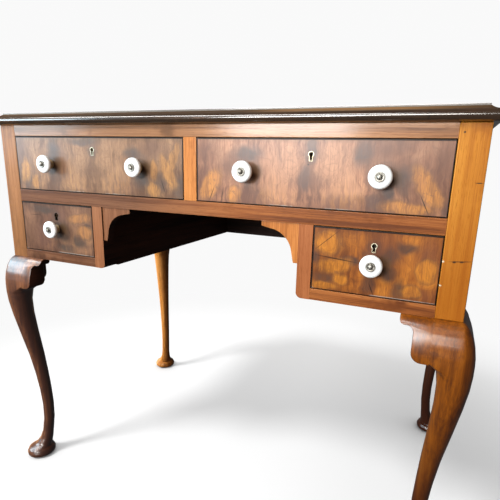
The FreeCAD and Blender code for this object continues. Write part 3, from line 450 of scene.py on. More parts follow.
def dry_oak(name, axis):
    """Unpolished drawer lining: straight open grain, greyed and dusty."""
    wood = Finish(name)
    _, fibres, dust, colour = oak_grain(wood, axis)
    pores = wood.step(wood.noise(wood.along(axis, 45.0, 1100.0), detail=1.0), 0.60, 0.70)
    colour = dusted(wood, dust, wood.mix(pores * 0.6, colour, OAK_DEEP))
    colour = wood.mix(wood.arris * 0.3, colour, OAK_PALE)
    return wood.seal(colour, 0.62 + dust * 0.2, fibres * 0.5 - pores, depth=0.2 * MM)


def shadowed_walnut(name):
    """The kneehole's sides, stained dark and painted nearly black as shade, and dusty."""
    wood = Finish(name)
    bands = wood.noise(wood.along("y", 3.0, 50.0), detail=3.0)
    fibres = wood.noise(wood.along("y", 20.0, 800.0), detail=2.0)
    colour = wood.ramp(bands * 0.6 + fibres * 0.4, (0.35, SOOT), (0.7, SEPIA))
    return wood.seal(colour, 0.55 + fibres * 0.2, fibres, depth=0.15 * MM, specular_ior_level=0.15)


def back_boards(name):
    """The back panel: dry oak outside, and painted dark as shade inside the kneehole."""
    wood = Finish(name)
    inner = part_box("back_panel")[0].y
    figure, fibres, dust, outside = oak_grain(wood, "x")
    outside = dusted(wood, dust, outside)
    inside = wood.ramp(figure, (0.35, SOOT), (0.7, SEPIA))
    kneehole_shade = wood.step(wood.split(wood.here)[1], *(inner + depth for depth in KNEEHOLE_SHADE_DEPTH))
    return wood.seal(wood.mix(kneehole_shade, inside, outside), 0.62 + dust * 0.2, fibres, depth=0.2 * MM)


def glazed_white(name):
    """White glaze, yellowed towards the neck and painted darker there as shade, with grey dirt caught round
    the washer.
    """
    glaze = Finish(name)
    reach = glaze.node("ShaderNodeAttribute", {"attribute_name": "reach"}, output="Fac")
    out = glaze.node("ShaderNodeAttribute", {"attribute_name": "out"}, output="Fac")
    mottle = glaze.noise(glaze.here, 90.0, detail=3.0)
    specks = glaze.step(glaze.noise(glaze.here, 420.0, detail=1.0), 0.72, 0.78)
    # Creamy and darker towards the neck: yellowed glaze, deepened by painted shade
    colour = glaze.ramp(out + (mottle - 0.5) * 0.12, (0.20, BISCUIT), (0.62, CREAM), (0.84, GLAZE))
    face = glaze.step(out, 0.8, 0.95)
    dirt = face * (1 - glaze.step(reach + (mottle - 0.5) * 0.1, 0.36, 0.50))
    colour = glaze.mix(dirt * 0.8, colour, ASH)
    colour = glaze.mix(specks * 0.5, colour, BISCUIT)
    return glaze.seal(
        colour, 0.08 + mottle * 0.08, mottle, depth=0.1 * MM, coat_weight=0.6, coat_roughness=0.04)


def worn_metal(name, bright, dull, polish):
    """Metal rubbed bright on its high places and dull in the rest."""
    metal = Finish(name)
    cloud = metal.noise(metal.here, 160.0, detail=4.0, roughness=0.6)
    scratches = metal.noise(metal.scaled(1500.0, 1500.0, 90.0), detail=2.0)
    colour = metal.ramp(cloud * 0.7 + scratches * 0.3, (0.40, dull), (0.58, bright))
    colour = metal.mix(metal.arris * 0.6, colour, bright)
    return metal.seal(colour, polish + cloud * 0.25, scratches, depth=0.05 * MM, metallic=1.0)


# Colours, as linear light
EBONY = (0.018, 0.010, 0.007, 1)
SOOT = (0.006, 0.003, 0.002, 1)
SEPIA = (0.090, 0.026, 0.012, 1)
TOBACCO = (0.046, 0.023, 0.010, 1)
UMBER = (0.100, 0.050, 0.021, 1)
OCHRE = (0.420, 0.215, 0.085, 1)
RUSSET = (0.240, 0.085, 0.026, 1)
ASH = (0.420, 0.390, 0.350, 1)
OAK_PALE = (0.560, 0.400, 0.240, 1)
OAK = (0.420, 0.275, 0.145, 1)
OAK_DEEP = (0.230, 0.130, 0.060, 1)
GLAZE = (0.900, 0.900, 0.880, 1)
CREAM = (0.780, 0.700, 0.520, 1)
BISCUIT = (0.500, 0.360, 0.190, 1)

# The walnut boards' colours: pale, rich and deep. The shaded ones are left ends' colours, painted darker as
# shade
HONEY = ((0.690, 0.295, 0.042, 1), (0.560, 0.200, 0.017, 1), (0.345, 0.093, 0.004, 1))
TAN = ((0.470, 0.215, 0.084, 1), (0.335, 0.136, 0.045, 1), (0.172, 0.067, 0.021, 1))
CHESTNUT = ((0.430, 0.145, 0.036, 1), (0.290, 0.083, 0.017, 1), (0.140, 0.036, 0.008, 1))
SHADED_RUSSET = ((0.290, 0.120, 0.054, 1), (0.190, 0.070, 0.028, 1), (0.095, 0.032, 0.012, 1))
SHADED_COCOA = ((0.200, 0.083, 0.038, 1), (0.130, 0.048, 0.020, 1), (0.062, 0.021, 0.008, 1))
HAZEL = ((0.560, 0.265, 0.115, 1), (0.380, 0.160, 0.060, 1), (0.160, 0.058, 0.020, 1))
SHADED_FAWN = ((0.400, 0.190, 0.085, 1), (0.285, 0.128, 0.052, 1), (0.165, 0.072, 0.026, 1))
AMBER = ((0.400, 0.125, 0.009, 1), (0.235, 0.060, 0.002, 1), (0.040, 0.007, 0.001, 1))
DUN = ((0.680, 0.285, 0.110, 1), (0.200, 0.070, 0.027, 1), (0.036, 0.012, 0.009, 1))
SYRUP = ((0.870, 0.395, 0.118, 1), (0.640, 0.230, 0.044, 1), (0.110, 0.027, 0.004, 1))
GOLDEN = ((0.680, 0.265, 0.068, 1), (0.510, 0.168, 0.034, 1), (0.280, 0.080, 0.013, 1))
RUST = ((0.520, 0.180, 0.060, 1), (0.390, 0.118, 0.034, 1), (0.210, 0.056, 0.014, 1))
SHADED_BROWN = ((0.370, 0.158, 0.070, 1), (0.250, 0.096, 0.040, 1), (0.130, 0.045, 0.016, 1))

# The veneers' colours and their polish
DUSKY = {
    "slate": (0.100, 0.074, 0.062, 1),
    "plum": (0.170, 0.088, 0.056, 1),
    "deep": (0.125, 0.060, 0.032, 1),
    "rich": (0.250, 0.130, 0.068, 1),
    "pale": (0.390, 0.212, 0.108, 1),
    "gold": (0.530, 0.245, 0.070, 1),
    "sheen": 0.4,
}
RUDDY = {
    "slate": (0.090, 0.060, 0.052, 1),
    "plum": (0.140, 0.058, 0.036, 1),
    "deep": (0.165, 0.066, 0.036, 1),
    "rich": (0.390, 0.172, 0.090, 1),
    "pale": (0.560, 0.275, 0.148, 1),
    "gold": (0.600, 0.240, 0.048, 1),
    "sheen": 0.5,
}
SMOKY = {
    "slate": (0.072, 0.050, 0.038, 1),
    "plum": (0.155, 0.074, 0.050, 1),
    "deep": (0.085, 0.038, 0.022, 1),
    "rich": (0.180, 0.085, 0.048, 1),
    "pale": (0.270, 0.135, 0.072, 1),
    "gold": (0.430, 0.185, 0.058, 1),
    "sheen": 0.25,
}
AUTUMN = {
    "slate": (0.070, 0.038, 0.028, 1),
    "plum": (0.160, 0.050, 0.024, 1),
    "deep": (0.150, 0.042, 0.010, 1),
    "rich": (0.320, 0.094, 0.014, 1),
    "pale": (0.500, 0.165, 0.022, 1),
    "gold": (0.600, 0.215, 0.024, 1),
    "sheen": 0.15,
}

# The veneers' figure: ovals on each drawer front as (x, z, half width, half height, lean), in millimetres
# and degrees, and the leaves' joint in metres from the front's middle, off the front where there is none
FIGURES = {
    "upper_left": {
        "joint": 0.0,
        "gold": ((-169, -12, 11, 24, 10), (-146, -33, 10, 16, -8), (133, -4, 8, 17, 0),
                 (161, -6, 11, 27, -25), (172, 18, 8, 26, 18), (129, -38, 15, 14, 0)),
        "slate": ((-92, 26, 12, 22, 0), (-20, 40, 34, 7, 0), (103, -20, 15, 15, 0), (144, -23, 11, 14, 0),
                  (181, -31, 12, 20, 0), (-165, -36, 6, 16, 15), (88, 24, 16, 10, 0)),
        "plum": ((131, 28, 28, 18, 0), (-180, 24, 24, 34, 0), (66, -34, 24, 15, 0), (-82, -6, 20, 36, 0)),
        "pale": ((-30, 0, 24, 40, 0), (14, 2, 30, 40, 0), (58, 34, 26, 12, 0)),
        "cracks": ((-158, -34, 0.6, 12, 14), (150, -30, 0.6, 10, -20)),
    },
    "upper_right": {
        "joint": 0.0,
        "gold": ((-164, -22, 12, 28, 30), (-122, -36, 11, 15, 12), (162, -12, 12, 28, -32),
                 (137, -41, 34, 10, 0)),
        "slate": ((-100, 27, 24, 13, -8), (74, 30, 13, 19, 0), (131, -8, 13, 17, 0), (94, -36, 10, 14, 0),
                  (-7, -6, 9, 16, 0), (188, -40, 8, 10, 0), (0, 36, 9, 14, 0), (110, -22, 8, 14, 10)),
        "plum": ((-170, 29, 26, 18, 0), (-178, -4, 14, 15, 0), (116, 36, 40, 15, 0), (176, 20, 26, 34, 0),
                 (77, -38, 14, 12, 0), (130, 14, 30, 16, 0), (-128, 6, 26, 18, 0),
                 (-88, -38, 22, 13, 0), (44, -40, 26, 12, 0)),
        "pale": ((-44, 4, 26, 26, 14), (30, 10, 32, 34, 0), (-130, 38, 22, 10, 0)),
        "cracks": ((-162, -37, 0.7, 12, 22), (-143, -39, 0.8, 12, 8), (160, -35, 0.7, 12, -27),
                   (-3.4, 13.2, 1.2, 1.2, 0)),
    },
    "lower_left": {
        "joint": 1.0,
        "gold": ((58, 24, 28, 10, -6), (70, -2, 18, 11, 0)),
        "slate": ((54, -22, 20, 11, 12), (80, 8, 8, 7, 0), (-33, 34, 28, 8, 0), (22, -6, 16, 18, 0),
                  (20, -36, 24, 9, 0)),
        "plum": ((-40, -14, 30, 26, 0), (0, 26, 26, 16, 0)),
        "pale": ((64, -38, 24, 8, 0), (-70, -6, 18, 34, 0)),
        "cracks": ((-55, 24, 12, 0.5, -4),),
    },
    "lower_right": {
        "joint": 1.0,
        "gold": ((-69, 25, 20, 17, 0), (-56, -8, 24, 11, -10), (-70, -41, 18, 7, 0), (-45, -26, 11, 8, 0),
                 (55, -33, 12, 10, 0), (74, -2, 12, 16, 25)),
        "slate": ((-86, 0, 6, 9, 0), (-73, -28, 17, 7, 0), (45, 28, 15, 9, 0), (25, 13, 12, 13, 0),
                  (-4, -31, 9, 14, 0), (38, -34, 8, 15, 0), (25, -12, 11, 11, 0), (-33, 1, 15, 5, 12)),
        "plum": ((14, 20, 26, 22, 0), (70, -38, 24, 12, 0), (76, 20, 16, 20, 0)),
        "pale": ((-30, 30, 20, 14, 0), (-62, -36, 24, 12, 0)),
        "cracks": ((-69, 28, 0.5, 22, 48), (-54, 2, 27, 0.9, 5), (1, -38, 0.8, 9, -24)),
    },
}
GROUNDS = {"upper_left": DUSKY, "upper_right": RUDDY, "lower_left": SMOKY, "lower_right": AUTUMN}

# A nick and a joint in the front moulding, and marks on the right front post, as ovals like the veneers',
# but placed on the whole desk
TOP_MARKS = ((236, 745.5, 3.2, 1.6, 20), (356, 744, 0.7, 8, 8))
POST_CRACKS = ((416, 561.4, 13.5, 0.6, -6), (424, 664, 4, 0.7, 0), (399.4, 725.8, 1.3, 1.3, 0),
               (408, 560, 2.2, 1.4, 0), (417, 561, 2.6, 1.3, -6))
POST_CHIPS = ((394, 559.4, 1.7, 1.3, 0), (394, 526, 2.0, 1.0, 0))

RIGHT_POST = straight_walnut(
    "walnut_right_post", "z", HONEY,
    sheen=0.1, contrast=0.16, dusk=0.7, cracks=POST_CRACKS, chips=POST_CHIPS)
LEFT_POST = straight_walnut("walnut_left_post", "z", TAN, sheen=0.12, contrast=0.14, dusk=0.4)
STILE = straight_walnut("walnut_stile", "z", RUST, SHADED_BROWN, dusk=0.35)
SPANDREL = straight_walnut("walnut_spandrel", "z", GOLDEN, SHADED_RUSSET)
MUNTIN = straight_walnut("walnut_muntin", "z", GOLDEN)
TOP_RAIL = straight_walnut("walnut_top_rail", "x", HAZEL, SHADED_FAWN, polish=0.28, sheen=0.52, contrast=0.10)
RAIL = straight_walnut("walnut_rail", "x", CHESTNUT, SHADED_COCOA, contrast=0.10)
LOWER_RAIL = straight_walnut("walnut_lower_rail", "x", CHESTNUT, SHADED_COCOA, sheen=0.1, contrast=0.10)
SIDE = straight_walnut("walnut_side", "y", GOLDEN)
TOP_LONG = polished_top("walnut_top_long", "x", TOP_MARKS)
TOP_SIDE = polished_top("walnut_top_side", "y", TOP_MARKS)
LEFT_LEG = leg_walnut("walnut_left_leg", *DUN, dusk=0.35, sheen=1.0, painted_light=1.6, shade=0.75)
RIGHT_LEG = leg_walnut("walnut_right_leg", *AMBER, dusk=0.95, sheen=0.75, painted_light=0.0, shade=0.35)
REAR_LEG = leg_walnut("walnut_rear_leg", *SYRUP, dusk=0.15, sheen=0.02, painted_light=1.0, shade=0.6)
OAK_DEEPWAYS = dry_oak("oak_front_to_back", "y")
OAK_WIDEWAYS = dry_oak("oak_side_to_side", "x")
KNEEHOLE = shadowed_walnut("walnut_kneehole")
BACK_BOARDS = back_boards("oak_back_boards")
GLAZED = glazed_white("glazed_white")
STEEL = worn_metal("bolt_steel", (0.50, 0.48, 0.43, 1), (0.17, 0.15, 0.12, 1), polish=0.36)
BRASS = worn_metal("escutcheon_brass", (0.72, 0.67, 0.52, 1), (0.46, 0.40, 0.27, 1), polish=0.34)
DARK_BRASS = worn_metal(
    "escutcheon_tarnished", (0.022, 0.017, 0.012, 1), (0.008, 0.006, 0.004, 1), polish=0.50)
IRON = worn_metal("lock_iron", (0.26, 0.24, 0.22, 1), (0.10, 0.08, 0.07, 1), polish=0.40)

# When an edge is sharp, when two faces are one, which points are joined, and which faces look to the front
SHARP = math.radians(35)
FLAT = math.radians(0.5)
WELD = 0.01 * MM
FRONTWARD = -0.5

# How edges are eased: the bevel's steps, the shortest edge in widths of the bevel, and the widths
EASE_STEPS = 2
SHORTEST_EASED = 3
BOARD_ARRIS = 0.8 * MM
TOP_ARRIS = 0.5 * MM
MOULDING_ARRIS = 0.6 * MM
VENEER_ARRIS = 0.7 * MM
BOTTOM_ARRIS = 0.3 * MM
ESCUTCHEON_ARRIS = 0.2 * MM
LOCK_ARRIS = 0.4 * MM
NUT_ARRIS = 0.5 * MM


def stand(name, mesh, finishes):
    """Puts a shaped mesh in the scene as an object with its finishes."""
    data = bpy.data.meshes.new(name)
    mesh.to_mesh(data)
    mesh.free()
    for finish in finishes:
        data.materials.append(finish)
    made = bpy.data.objects.new(name, data)
    bpy.context.scene.collection.objects.link(made)
    return made


def piece(name, mesh, finishes, body, nodes, rounds=0):
    """Makes a shaped mesh a piece of the desk, in place of the nodes that it stands for."""
    made = stand(name, mesh, finishes)
    if rounds:
        subdivision = made.modifiers.new("rounding", "SUBSURF")
        subdivision.levels = rounds
        subdivision.render_levels = rounds
    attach(made, body)
    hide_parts(*nodes)
    return made


def smooth(mesh):
    for face in mesh.faces:
        face.smooth = True


def smooth_between_corners(mesh):
    """Smooth faces, with a clear line left at each sharp edge."""
    smooth(mesh)
    for edge in mesh.edges:
        edge.smooth = edge.calc_face_angle(0) < SHARP


def ease(mesh, edges, width):
    """Rounds edges over and marks the new faces, so that finishes can wear them."""
    mark = mesh.faces.layers.float.get("arris") or mesh.faces.layers.float.new("arris")
    made = bmesh.ops.bevel(
        mesh, geom=edges, affect="EDGES", offset=width, segments=EASE_STEPS, profile=0.5, material=-1,
        clamp_overlap=True)
    for face in made["faces"]:
        face[mark] = 1.0


def dressed(node, finish, body="carcass", arris=BOARD_ARRIS, behind=None):
    """A node of the frame with its sharp outer edges eased, as a plane and long use leave them."""
    mesh = bmesh.new()
    mesh.from_mesh(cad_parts[node].data)
    bmesh.ops.remove_doubles(mesh, verts=mesh.verts, dist=WELD)
    bmesh.ops.dissolve_limit(mesh, angle_limit=FLAT, verts=mesh.verts, edges=mesh.edges)
    # Faces that don't look to the front take the behind finish, which for the kneehole is painted shade
    for face in mesh.faces:
        face.material_index = 1 if behind and face.normal.y > FRONTWARD else 0
    corners = [edge for edge in mesh.edges if edge.is_convex and edge.calc_face_angle(0) > SHARP]
    ease(mesh, [edge for edge in corners if edge.calc_length() > SHORTEST_EASED * arris], arris)
    smooth_between_corners(mesh)
    finishes = [finish, behind] if behind else [finish]
    made = piece(f"{node}_dressed", mesh, finishes, body, [node])
    weighted = made.modifiers.new("flat faces", "WEIGHTED_NORMAL")
    weighted.keep_sharp = True


# The leg's sections, from the knee down: shares of the knee's height, of the way out from ankle to knee
# and of the way from the ankle's width to the knee's, then the corners' rounding as a share of the width
SHAFT_SHARES = (
    (0.970, 0.995, 0.840, 0.43),
    (0.916, 0.950, 0.690, 0.45),
    (0.840, 0.826, 0.555, 0.46),
    (0.735, 0.616, 0.400, 0.46),
    (0.600, 0.339, 0.220, 0.46),
    (0.488, 0.168, 0.113, 0.46),
    (0.397, 0.067, 0.056, 0.46),
    (0.305, 0.000, 0.013, 0.46),
    (0.216, 0.008, 0.000, 0.46),
    (0.139, 0.100, 0.013, 0.46),
    (0.096, 0.246, 0.140, 0.46),
    (0.062, 0.500, 0.400, 0.48),
)
# The knee's sections as shares of its drop, and the pad's as shares of its height and its radius
KNEE_SHARES = (0.0, 0.02, 0.07, 0.15, 0.30, 0.53, 0.77, 0.95)
PAD_SHARES = ((0.80, 0.74), (0.66, 0.90), (0.40, 1.00), (0.18, 0.97), (0.04, 0.80), (0.00, 0.70))
KNEE_WIDTH = 54 * MM
ANKLE_WIDTH = 22 * MM
ANKLE_REACH = -13.2 * MM
PAD_RADIUS = 30 * MM
PAD_HEIGHT = 25 * MM
PAD_INSET = 8 * MM
RING_SIDES = 32
POST_ARRIS = 1.2 * MM
SQUARE_ROUND = 0.4 * MM
SWELL_CURVE = 0.65
RIDGE_CURVE = 0.75
RIDGE_START = 0.04
RIDGE_RISE = 0.36
PAD_CREASE = 0.7
FULL_CREASE = 1.0


def swell(drop):
    """How far out the knee stands at a share of its drop below the carcass."""
    return KNEE_BULGE * math.sin(TURN / 4 * drop ** SWELL_CURVE)


def knee_sections():
    for drop in KNEE_SHARES:
        ridge = KNEE_WIDTH * (RIDGE_START + RIDGE_RISE * math.sin(TURN / 4 * drop ** RIDGE_CURVE))
        yield UNDERSIDE - KNEE_DROP * drop, swell(drop), POST + swell(drop), ridge, SQUARE_ROUND


def shaft_sections():
    for height, reach, girth, rounding in SHAFT_SHARES:
        outer = ANKLE_REACH + (KNEE_BULGE - ANKLE_REACH) * reach
        width = ANKLE_WIDTH + (KNEE_WIDTH - ANKLE_WIDTH) * girth
        yield KNEE_FOOT * height, outer, width, width * rounding, width * rounding


def pad_sections():
    for height, share in PAD_SHARES:
        radius = PAD_RADIUS * share
        yield PAD_HEIGHT * height, radius - PAD_INSET, 2 * radius, radius, radius


def on_section(section, across):
    """Where a ring's point goes on a section: a square with round corners, its ridge outwards."""
    height, outer, width, ridge, others = section
    east = math.copysign(1, across.x)
    north = math.copysign(1, across.y)
    rounding = ridge if east > 0 > north else others
    flat = width / 2 - rounding
    middle = outer - width / 2
    x = middle + east * flat + rounding * across.x
    y = -middle + north * flat + rounding * across.y
    return Vector((x, y, height))


def corner_place(side, end):
    """Takes the front right corner's shapes to a corner: side is 1 at the right, end is 1 at the front."""
    corner = Matrix.Translation((side * HALF_WIDTH, FRONT if end > 0 else BACK, 0))
    return corner @ Matrix.Diagonal((side, end, 1, 1))


def hold(mesh, edges, crease):
    """Keeps edges sharp under the rounding."""
    layer = mesh.edges.layers.float["crease_edge"]
    for edge in edges:
        edge[layer] = crease


def carved_leg(side, end):
    """A cabriole leg, drawn out ring by ring and pressed to its sections, under its square post."""
    sections = [*knee_sections(), *shaft_sections(), *pad_sections()]
    mesh = bmesh.new()
    mesh.edges.layers.float.new("crease_edge")
    mesh.faces.layers.float.new("arris")
    half_step = Matrix.Rotation(TURN / RING_SIDES / 2, 4, "Z")
    bmesh.ops.create_circle(mesh, cap_ends=True, segments=RING_SIDES, radius=1, matrix=half_step)
    ring = list(mesh.edges)
    hold(mesh, ring, FULL_CREASE)
    for _ in sections[1:]:
        drawn = bmesh.ops.extrude_edge_only(mesh, edges=ring)["geom"]
        ring = [part for part in drawn if isinstance(part, bmesh.types.BMEdge) and len(part.link_faces) == 1]
        points = {point for edge in ring for point in edge.verts}
        bmesh.ops.translate(mesh, verts=list(points), vec=(0, 0, -1))
    bmesh.ops.contextual_create(mesh, geom=ring)
    hold(mesh, ring, PAD_CREASE)
    for point in mesh.verts:
        point.co = on_section(sections[round(-point.co.z)], point.co.xy)
    post_place = Matrix.Translation((-POST / 2, POST / 2, (UNDERSIDE + POST_TOP) / 2))
    post_size = Matrix.Diagonal((POST, POST, POST_TOP - UNDERSIDE, 1))
    post = bmesh.ops.create_cube(mesh, size=1, matrix=post_place @ post_size)["verts"]
    post_edges = list({edge for point in post for edge in point.link_edges})
    ease(mesh, post_edges, POST_ARRIS)
    post_faces = [face for face in mesh.faces if face.calc_center_median().z > UNDERSIDE + WELD]
    for face in post_faces:
        face.material_index = 1
    broad = [face for face in post_faces if face.calc_area() > POST * POST / 2]
    bmesh.ops.inset_individual(mesh, faces=broad, thickness=POST_ARRIS / 2)
    hold(mesh, [edge for edge in mesh.edges if edge.link_faces[0].material_index == 1], FULL_CREASE)
    bmesh.ops.transform(mesh, matrix=corner_place(side, end), verts=mesh.verts)
    bmesh.ops.recalc_face_normals(mesh, faces=mesh.faces)
    smooth(mesh)
    return mesh


# A knee bracket's scroll
EAR_NOSE = 12.5 * MM
EAR_LOBE = 25 * MM
EAR_NOSE_ROUND = 7 * MM
EAR_HOLLOW = 9 * MM
EAR_LOBE_ROUND = 14 * MM
EAR_ARRIS = 1.0 * MM
EAR_CORNER = SHARP * 1.4
EAR_ROUND_STEPS = 6
EAR_CUTS = 7
EAR_CUT_CURVE = 1.5
EAR_FACE = -0.1


def carved_ear(mesh):
    """One knee bracket at the front right corner: a scroll-cut block that swells with the knee."""
    nose = UNDERSIDE - EAR_NOSE
    outline = (
        ((0, UNDERSIDE), 0),
        ((-EAR_REACH, UNDERSIDE), 0),
        ((-EAR_REACH, nose), EAR_NOSE_ROUND),
        ((-EAR_LOBE, nose), EAR_HOLLOW),
        ((-EAR_LOBE, KNEE_FOOT), EAR_LOBE_ROUND),
        ((0, KNEE_FOOT), 0),
    )
    points = [mesh.verts.new((x - POST, EAR_SEAT, z)) for (x, z), _ in outline]
    mesh.faces.new(points)
    for point, (_, rounding) in zip(points, outline):
        if rounding:
            bmesh.ops.bevel(
                mesh, geom=[point], affect="VERTICES", offset=rounding, segments=EAR_ROUND_STEPS,
                profile=0.5, material=-1)
    for cut in range(1, EAR_CUTS):
        level = Vector((0, 0, UNDERSIDE - KNEE_DROP * (cut / EAR_CUTS) ** EAR_CUT_CURVE))
        geometry = [*mesh.verts, *mesh.edges, *mesh.faces]
        bmesh.ops.bisect_plane(mesh, geom=geometry, dist=WELD, plane_co=level, plane_no=(0, 0, 1))
    pulled = bmesh.ops.extrude_face_region(mesh, geom=list(mesh.faces))["geom"]
    for point in pulled:
        if isinstance(point, bmesh.types.BMVert):
            point.co.y = -swell((UNDERSIDE - point.co.z) / KNEE_DROP)
    bmesh.ops.recalc_face_normals(mesh, faces=mesh.faces)
    # Faces that don't look to the front take the kneehole's finish, painted nearly black as shade
    for face in mesh.faces:
        face.material_index = 0 if face.normal.y < EAR_FACE else 1
    seat = -POST - WELD
    free = [edge for edge in mesh.edges if min(point.co.x for point in edge.verts) < seat]
    ease(mesh, [edge for edge in free if edge.calc_face_angle(0) > EAR_CORNER], EAR_ARRIS)


# Swaps the front and side faces of the right front corner
ON_THE_DIAGONAL = Matrix(((0, -1, 0, 0), (-1, 0, 0, 0), (0, 0, 1, 0), (0, 0, 0, 1)))


def ears(side, end, both):
    """A leg's brackets: one along the front and one along the side, or the side's alone."""
    mesh = bmesh.new()
    carved_ear(mesh)
    if both:
        twin = bmesh.ops.duplicate(mesh, geom=[*mesh.verts, *mesh.edges, *mesh.faces])["geom"]
        moved = [part for part in twin if isinstance(part, bmesh.types.BMVert)]
    else:
        moved = list(mesh.verts)
    bmesh.ops.transform(mesh, matrix=ON_THE_DIAGONAL, verts=moved)
    bmesh.ops.transform(mesh, matrix=corner_place(side, end), verts=mesh.verts)
    bmesh.ops.recalc_face_normals(mesh, faces=mesh.faces)
    smooth_between_corners(mesh)
    return mesh


# A knob's outline from its base to the middle of its face: shares of its radius and of its length
KNOB_SHARES = (
    (0.515, 0.000), (0.505, 0.080), (0.430, 0.220), (0.410, 0.340), (0.450, 0.470),
    (0.640, 0.560), (0.880, 0.620), (0.980, 0.690), (1.000, 0.780), (0.985, 0.880),
    (0.925, 0.955), (0.780, 0.990), (0.450, 1.000), (0.000, 1.000),
)
KNOB_LENGTH = 21 * MM
TURNED_STEPS = 32

# The bolt's washer and dome, from the washer's edge to the tip: shares of its radius and of its stand
BOLT_SHARES = (
    (1.000, 0.000), (1.000, 0.200), (0.940, 0.330), (0.820, 0.350), (0.690, 0.270), (0.610, 0.250),
    (0.590, 0.380), (0.580, 0.560), (0.490, 0.800), (0.300, 0.960), (0.000, 1.000),
)
WASHER_RADIUS = 6.5 * MM
BOLT_STAND = 4 * MM
SHANK_RADIUS = 2.4 * MM
SHANK_SIDES = 16
NUT_SIDE = 9 * MM
NUT_SHARE = 0.7


def turned(mesh, centre, start, shares, radius, length):
    """Spins an outline about a line through the centre, front to back, and returns the new points."""
    before = set(mesh.verts)
    places = [Vector((radius * reach, start - length * out, 0)) for reach, out in shares]
    outline = [mesh.verts.new(centre + place) for place in places]
    edges = [mesh.edges.new(pair) for pair in zip(outline, outline[1:])]
    bmesh.ops.spin(
        mesh, geom=[*outline, *edges], cent=centre, axis=(0, 1, 0), dvec=(0, 0, 0),
        angle=TURN, steps=TURNED_STEPS, use_merge=True, use_duplicate=False)
    made = [point for point in mesh.verts if point not in before]
    bmesh.ops.remove_doubles(mesh, verts=made, dist=WELD)
    return [point for point in mesh.verts if point not in before]


def knobs(drawer):
    """A drawer's glazed knobs. Each point is marked with its place on the knob, which the glaze follows."""
    node, centres = knob_centres(drawer)
    mesh = bmesh.new()
    reach = mesh.verts.layers.float.new("reach")
    out = mesh.verts.layers.float.new("out")
    for centre in centres:
        for point in turned(mesh, centre, 0, KNOB_SHARES, KNOB_RADIUS, KNOB_LENGTH):
            point[reach] = (point.co - centre).xz.length / KNOB_RADIUS
            point[out] = (centre.y - point.co.y) / KNOB_LENGTH
    bmesh.ops.holes_fill(mesh, edges=[edge for edge in mesh.edges if edge.is_boundary])
    bmesh.ops.recalc_face_normals(mesh, faces=mesh.faces)
    smooth(mesh)
    piece(f"{node}_glazed", mesh, [GLAZED], f"{drawer}_drawer", [node], rounds=2)


def bolts(drawer):
    """The knobs' bolts: a washer and dome, a shank through the drawer front and a square nut inside."""
    node = f"{drawer}_knob_bolts"
    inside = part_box(node)[1].y
    nut_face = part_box(f"{drawer}_drawer_front")[1].y
    mesh = bmesh.new()
    for centre in knob_centres(drawer)[1]:
        turned(mesh, centre, -KNOB_LENGTH, BOLT_SHARES, WASHER_RADIUS, BOLT_STAND)
        length = inside - FRONT + KNOB_LENGTH
        shank_middle = centre + Vector((0, length / 2 - KNOB_LENGTH, 0))
        shank = Matrix.Translation(shank_middle) @ Matrix.Rotation(TURN / 4, 4, "X")
        bmesh.ops.create_cone(
            mesh, cap_ends=True, segments=SHANK_SIDES, radius1=SHANK_RADIUS, radius2=SHANK_RADIUS,
            depth=length, matrix=shank)
        nut_depth = (inside - nut_face) * NUT_SHARE
        nut_place = Matrix.Translation((centre.x, nut_face + nut_depth / 2, centre.z))
        nut = bmesh.ops.create_cube(
            mesh, size=1, matrix=nut_place @ Matrix.Diagonal((NUT_SIDE, nut_depth, NUT_SIDE, 1)))["verts"]
        ease(mesh, list({edge for point in nut for edge in point.link_edges}), NUT_ARRIS)
    bmesh.ops.holes_fill(mesh, edges=[edge for edge in mesh.edges if edge.is_boundary])
    bmesh.ops.recalc_face_normals(mesh, faces=mesh.faces)
    smooth_between_corners(mesh)
    piece(f"{node}_turned", mesh, [STEEL], f"{drawer}_drawer", [node])


# The carcass
dressed("top_board", TOP_LONG, arris=TOP_ARRIS)
dressed("top_front_moulding", TOP_LONG, arris=MOULDING_ARRIS)
for side in ("left", "right"):
    dressed(f"top_{side}_moulding", TOP_SIDE, arris=MOULDING_ARRIS)
    dressed(f"{side}_side_panel", SIDE)
dressed("top_rail", TOP_RAIL)
dressed("middle_rail", RAIL)
dressed("lower_rails", LOWER_RAIL)
dressed("centre_muntin", MUNTIN)
dressed("inner_stiles", STILE, behind=KNEEHOLE)
dressed("spandrels", SPANDREL, behind=KNEEHOLE)
dressed("back_panel", BACK_BOARDS)
dressed("kneehole_sides", KNEEHOLE)
dressed("drawer_runners", OAK_DEEPWAYS)
dressed("drawer_kickers", OAK_DEEPWAYS)

for end_name, end in (("front", 1), ("rear", -1)):
    for side_name, side, post_finish, leg_finish in (
        ("left", -1, LEFT_POST, LEFT_LEG if end > 0 else REAR_LEG),
        ("right", 1, RIGHT_POST, RIGHT_LEG),
    ):
        leg = f"{end_name}_{side_name}_leg"
        finishes = [leg_finish, post_finish]
        piece(f"{leg}_carved", carved_leg(side, end), finishes, "carcass", [leg], rounds=2)
        both = end > 0
        brackets = f"{end_name}_{side_name}_knee_bracket" + ("s" if both else "")
        finishes = [leg_finish, KNEEHOLE]
        piece(f"{brackets}_carved", ears(side, end, both), finishes, "carcass", [brackets])

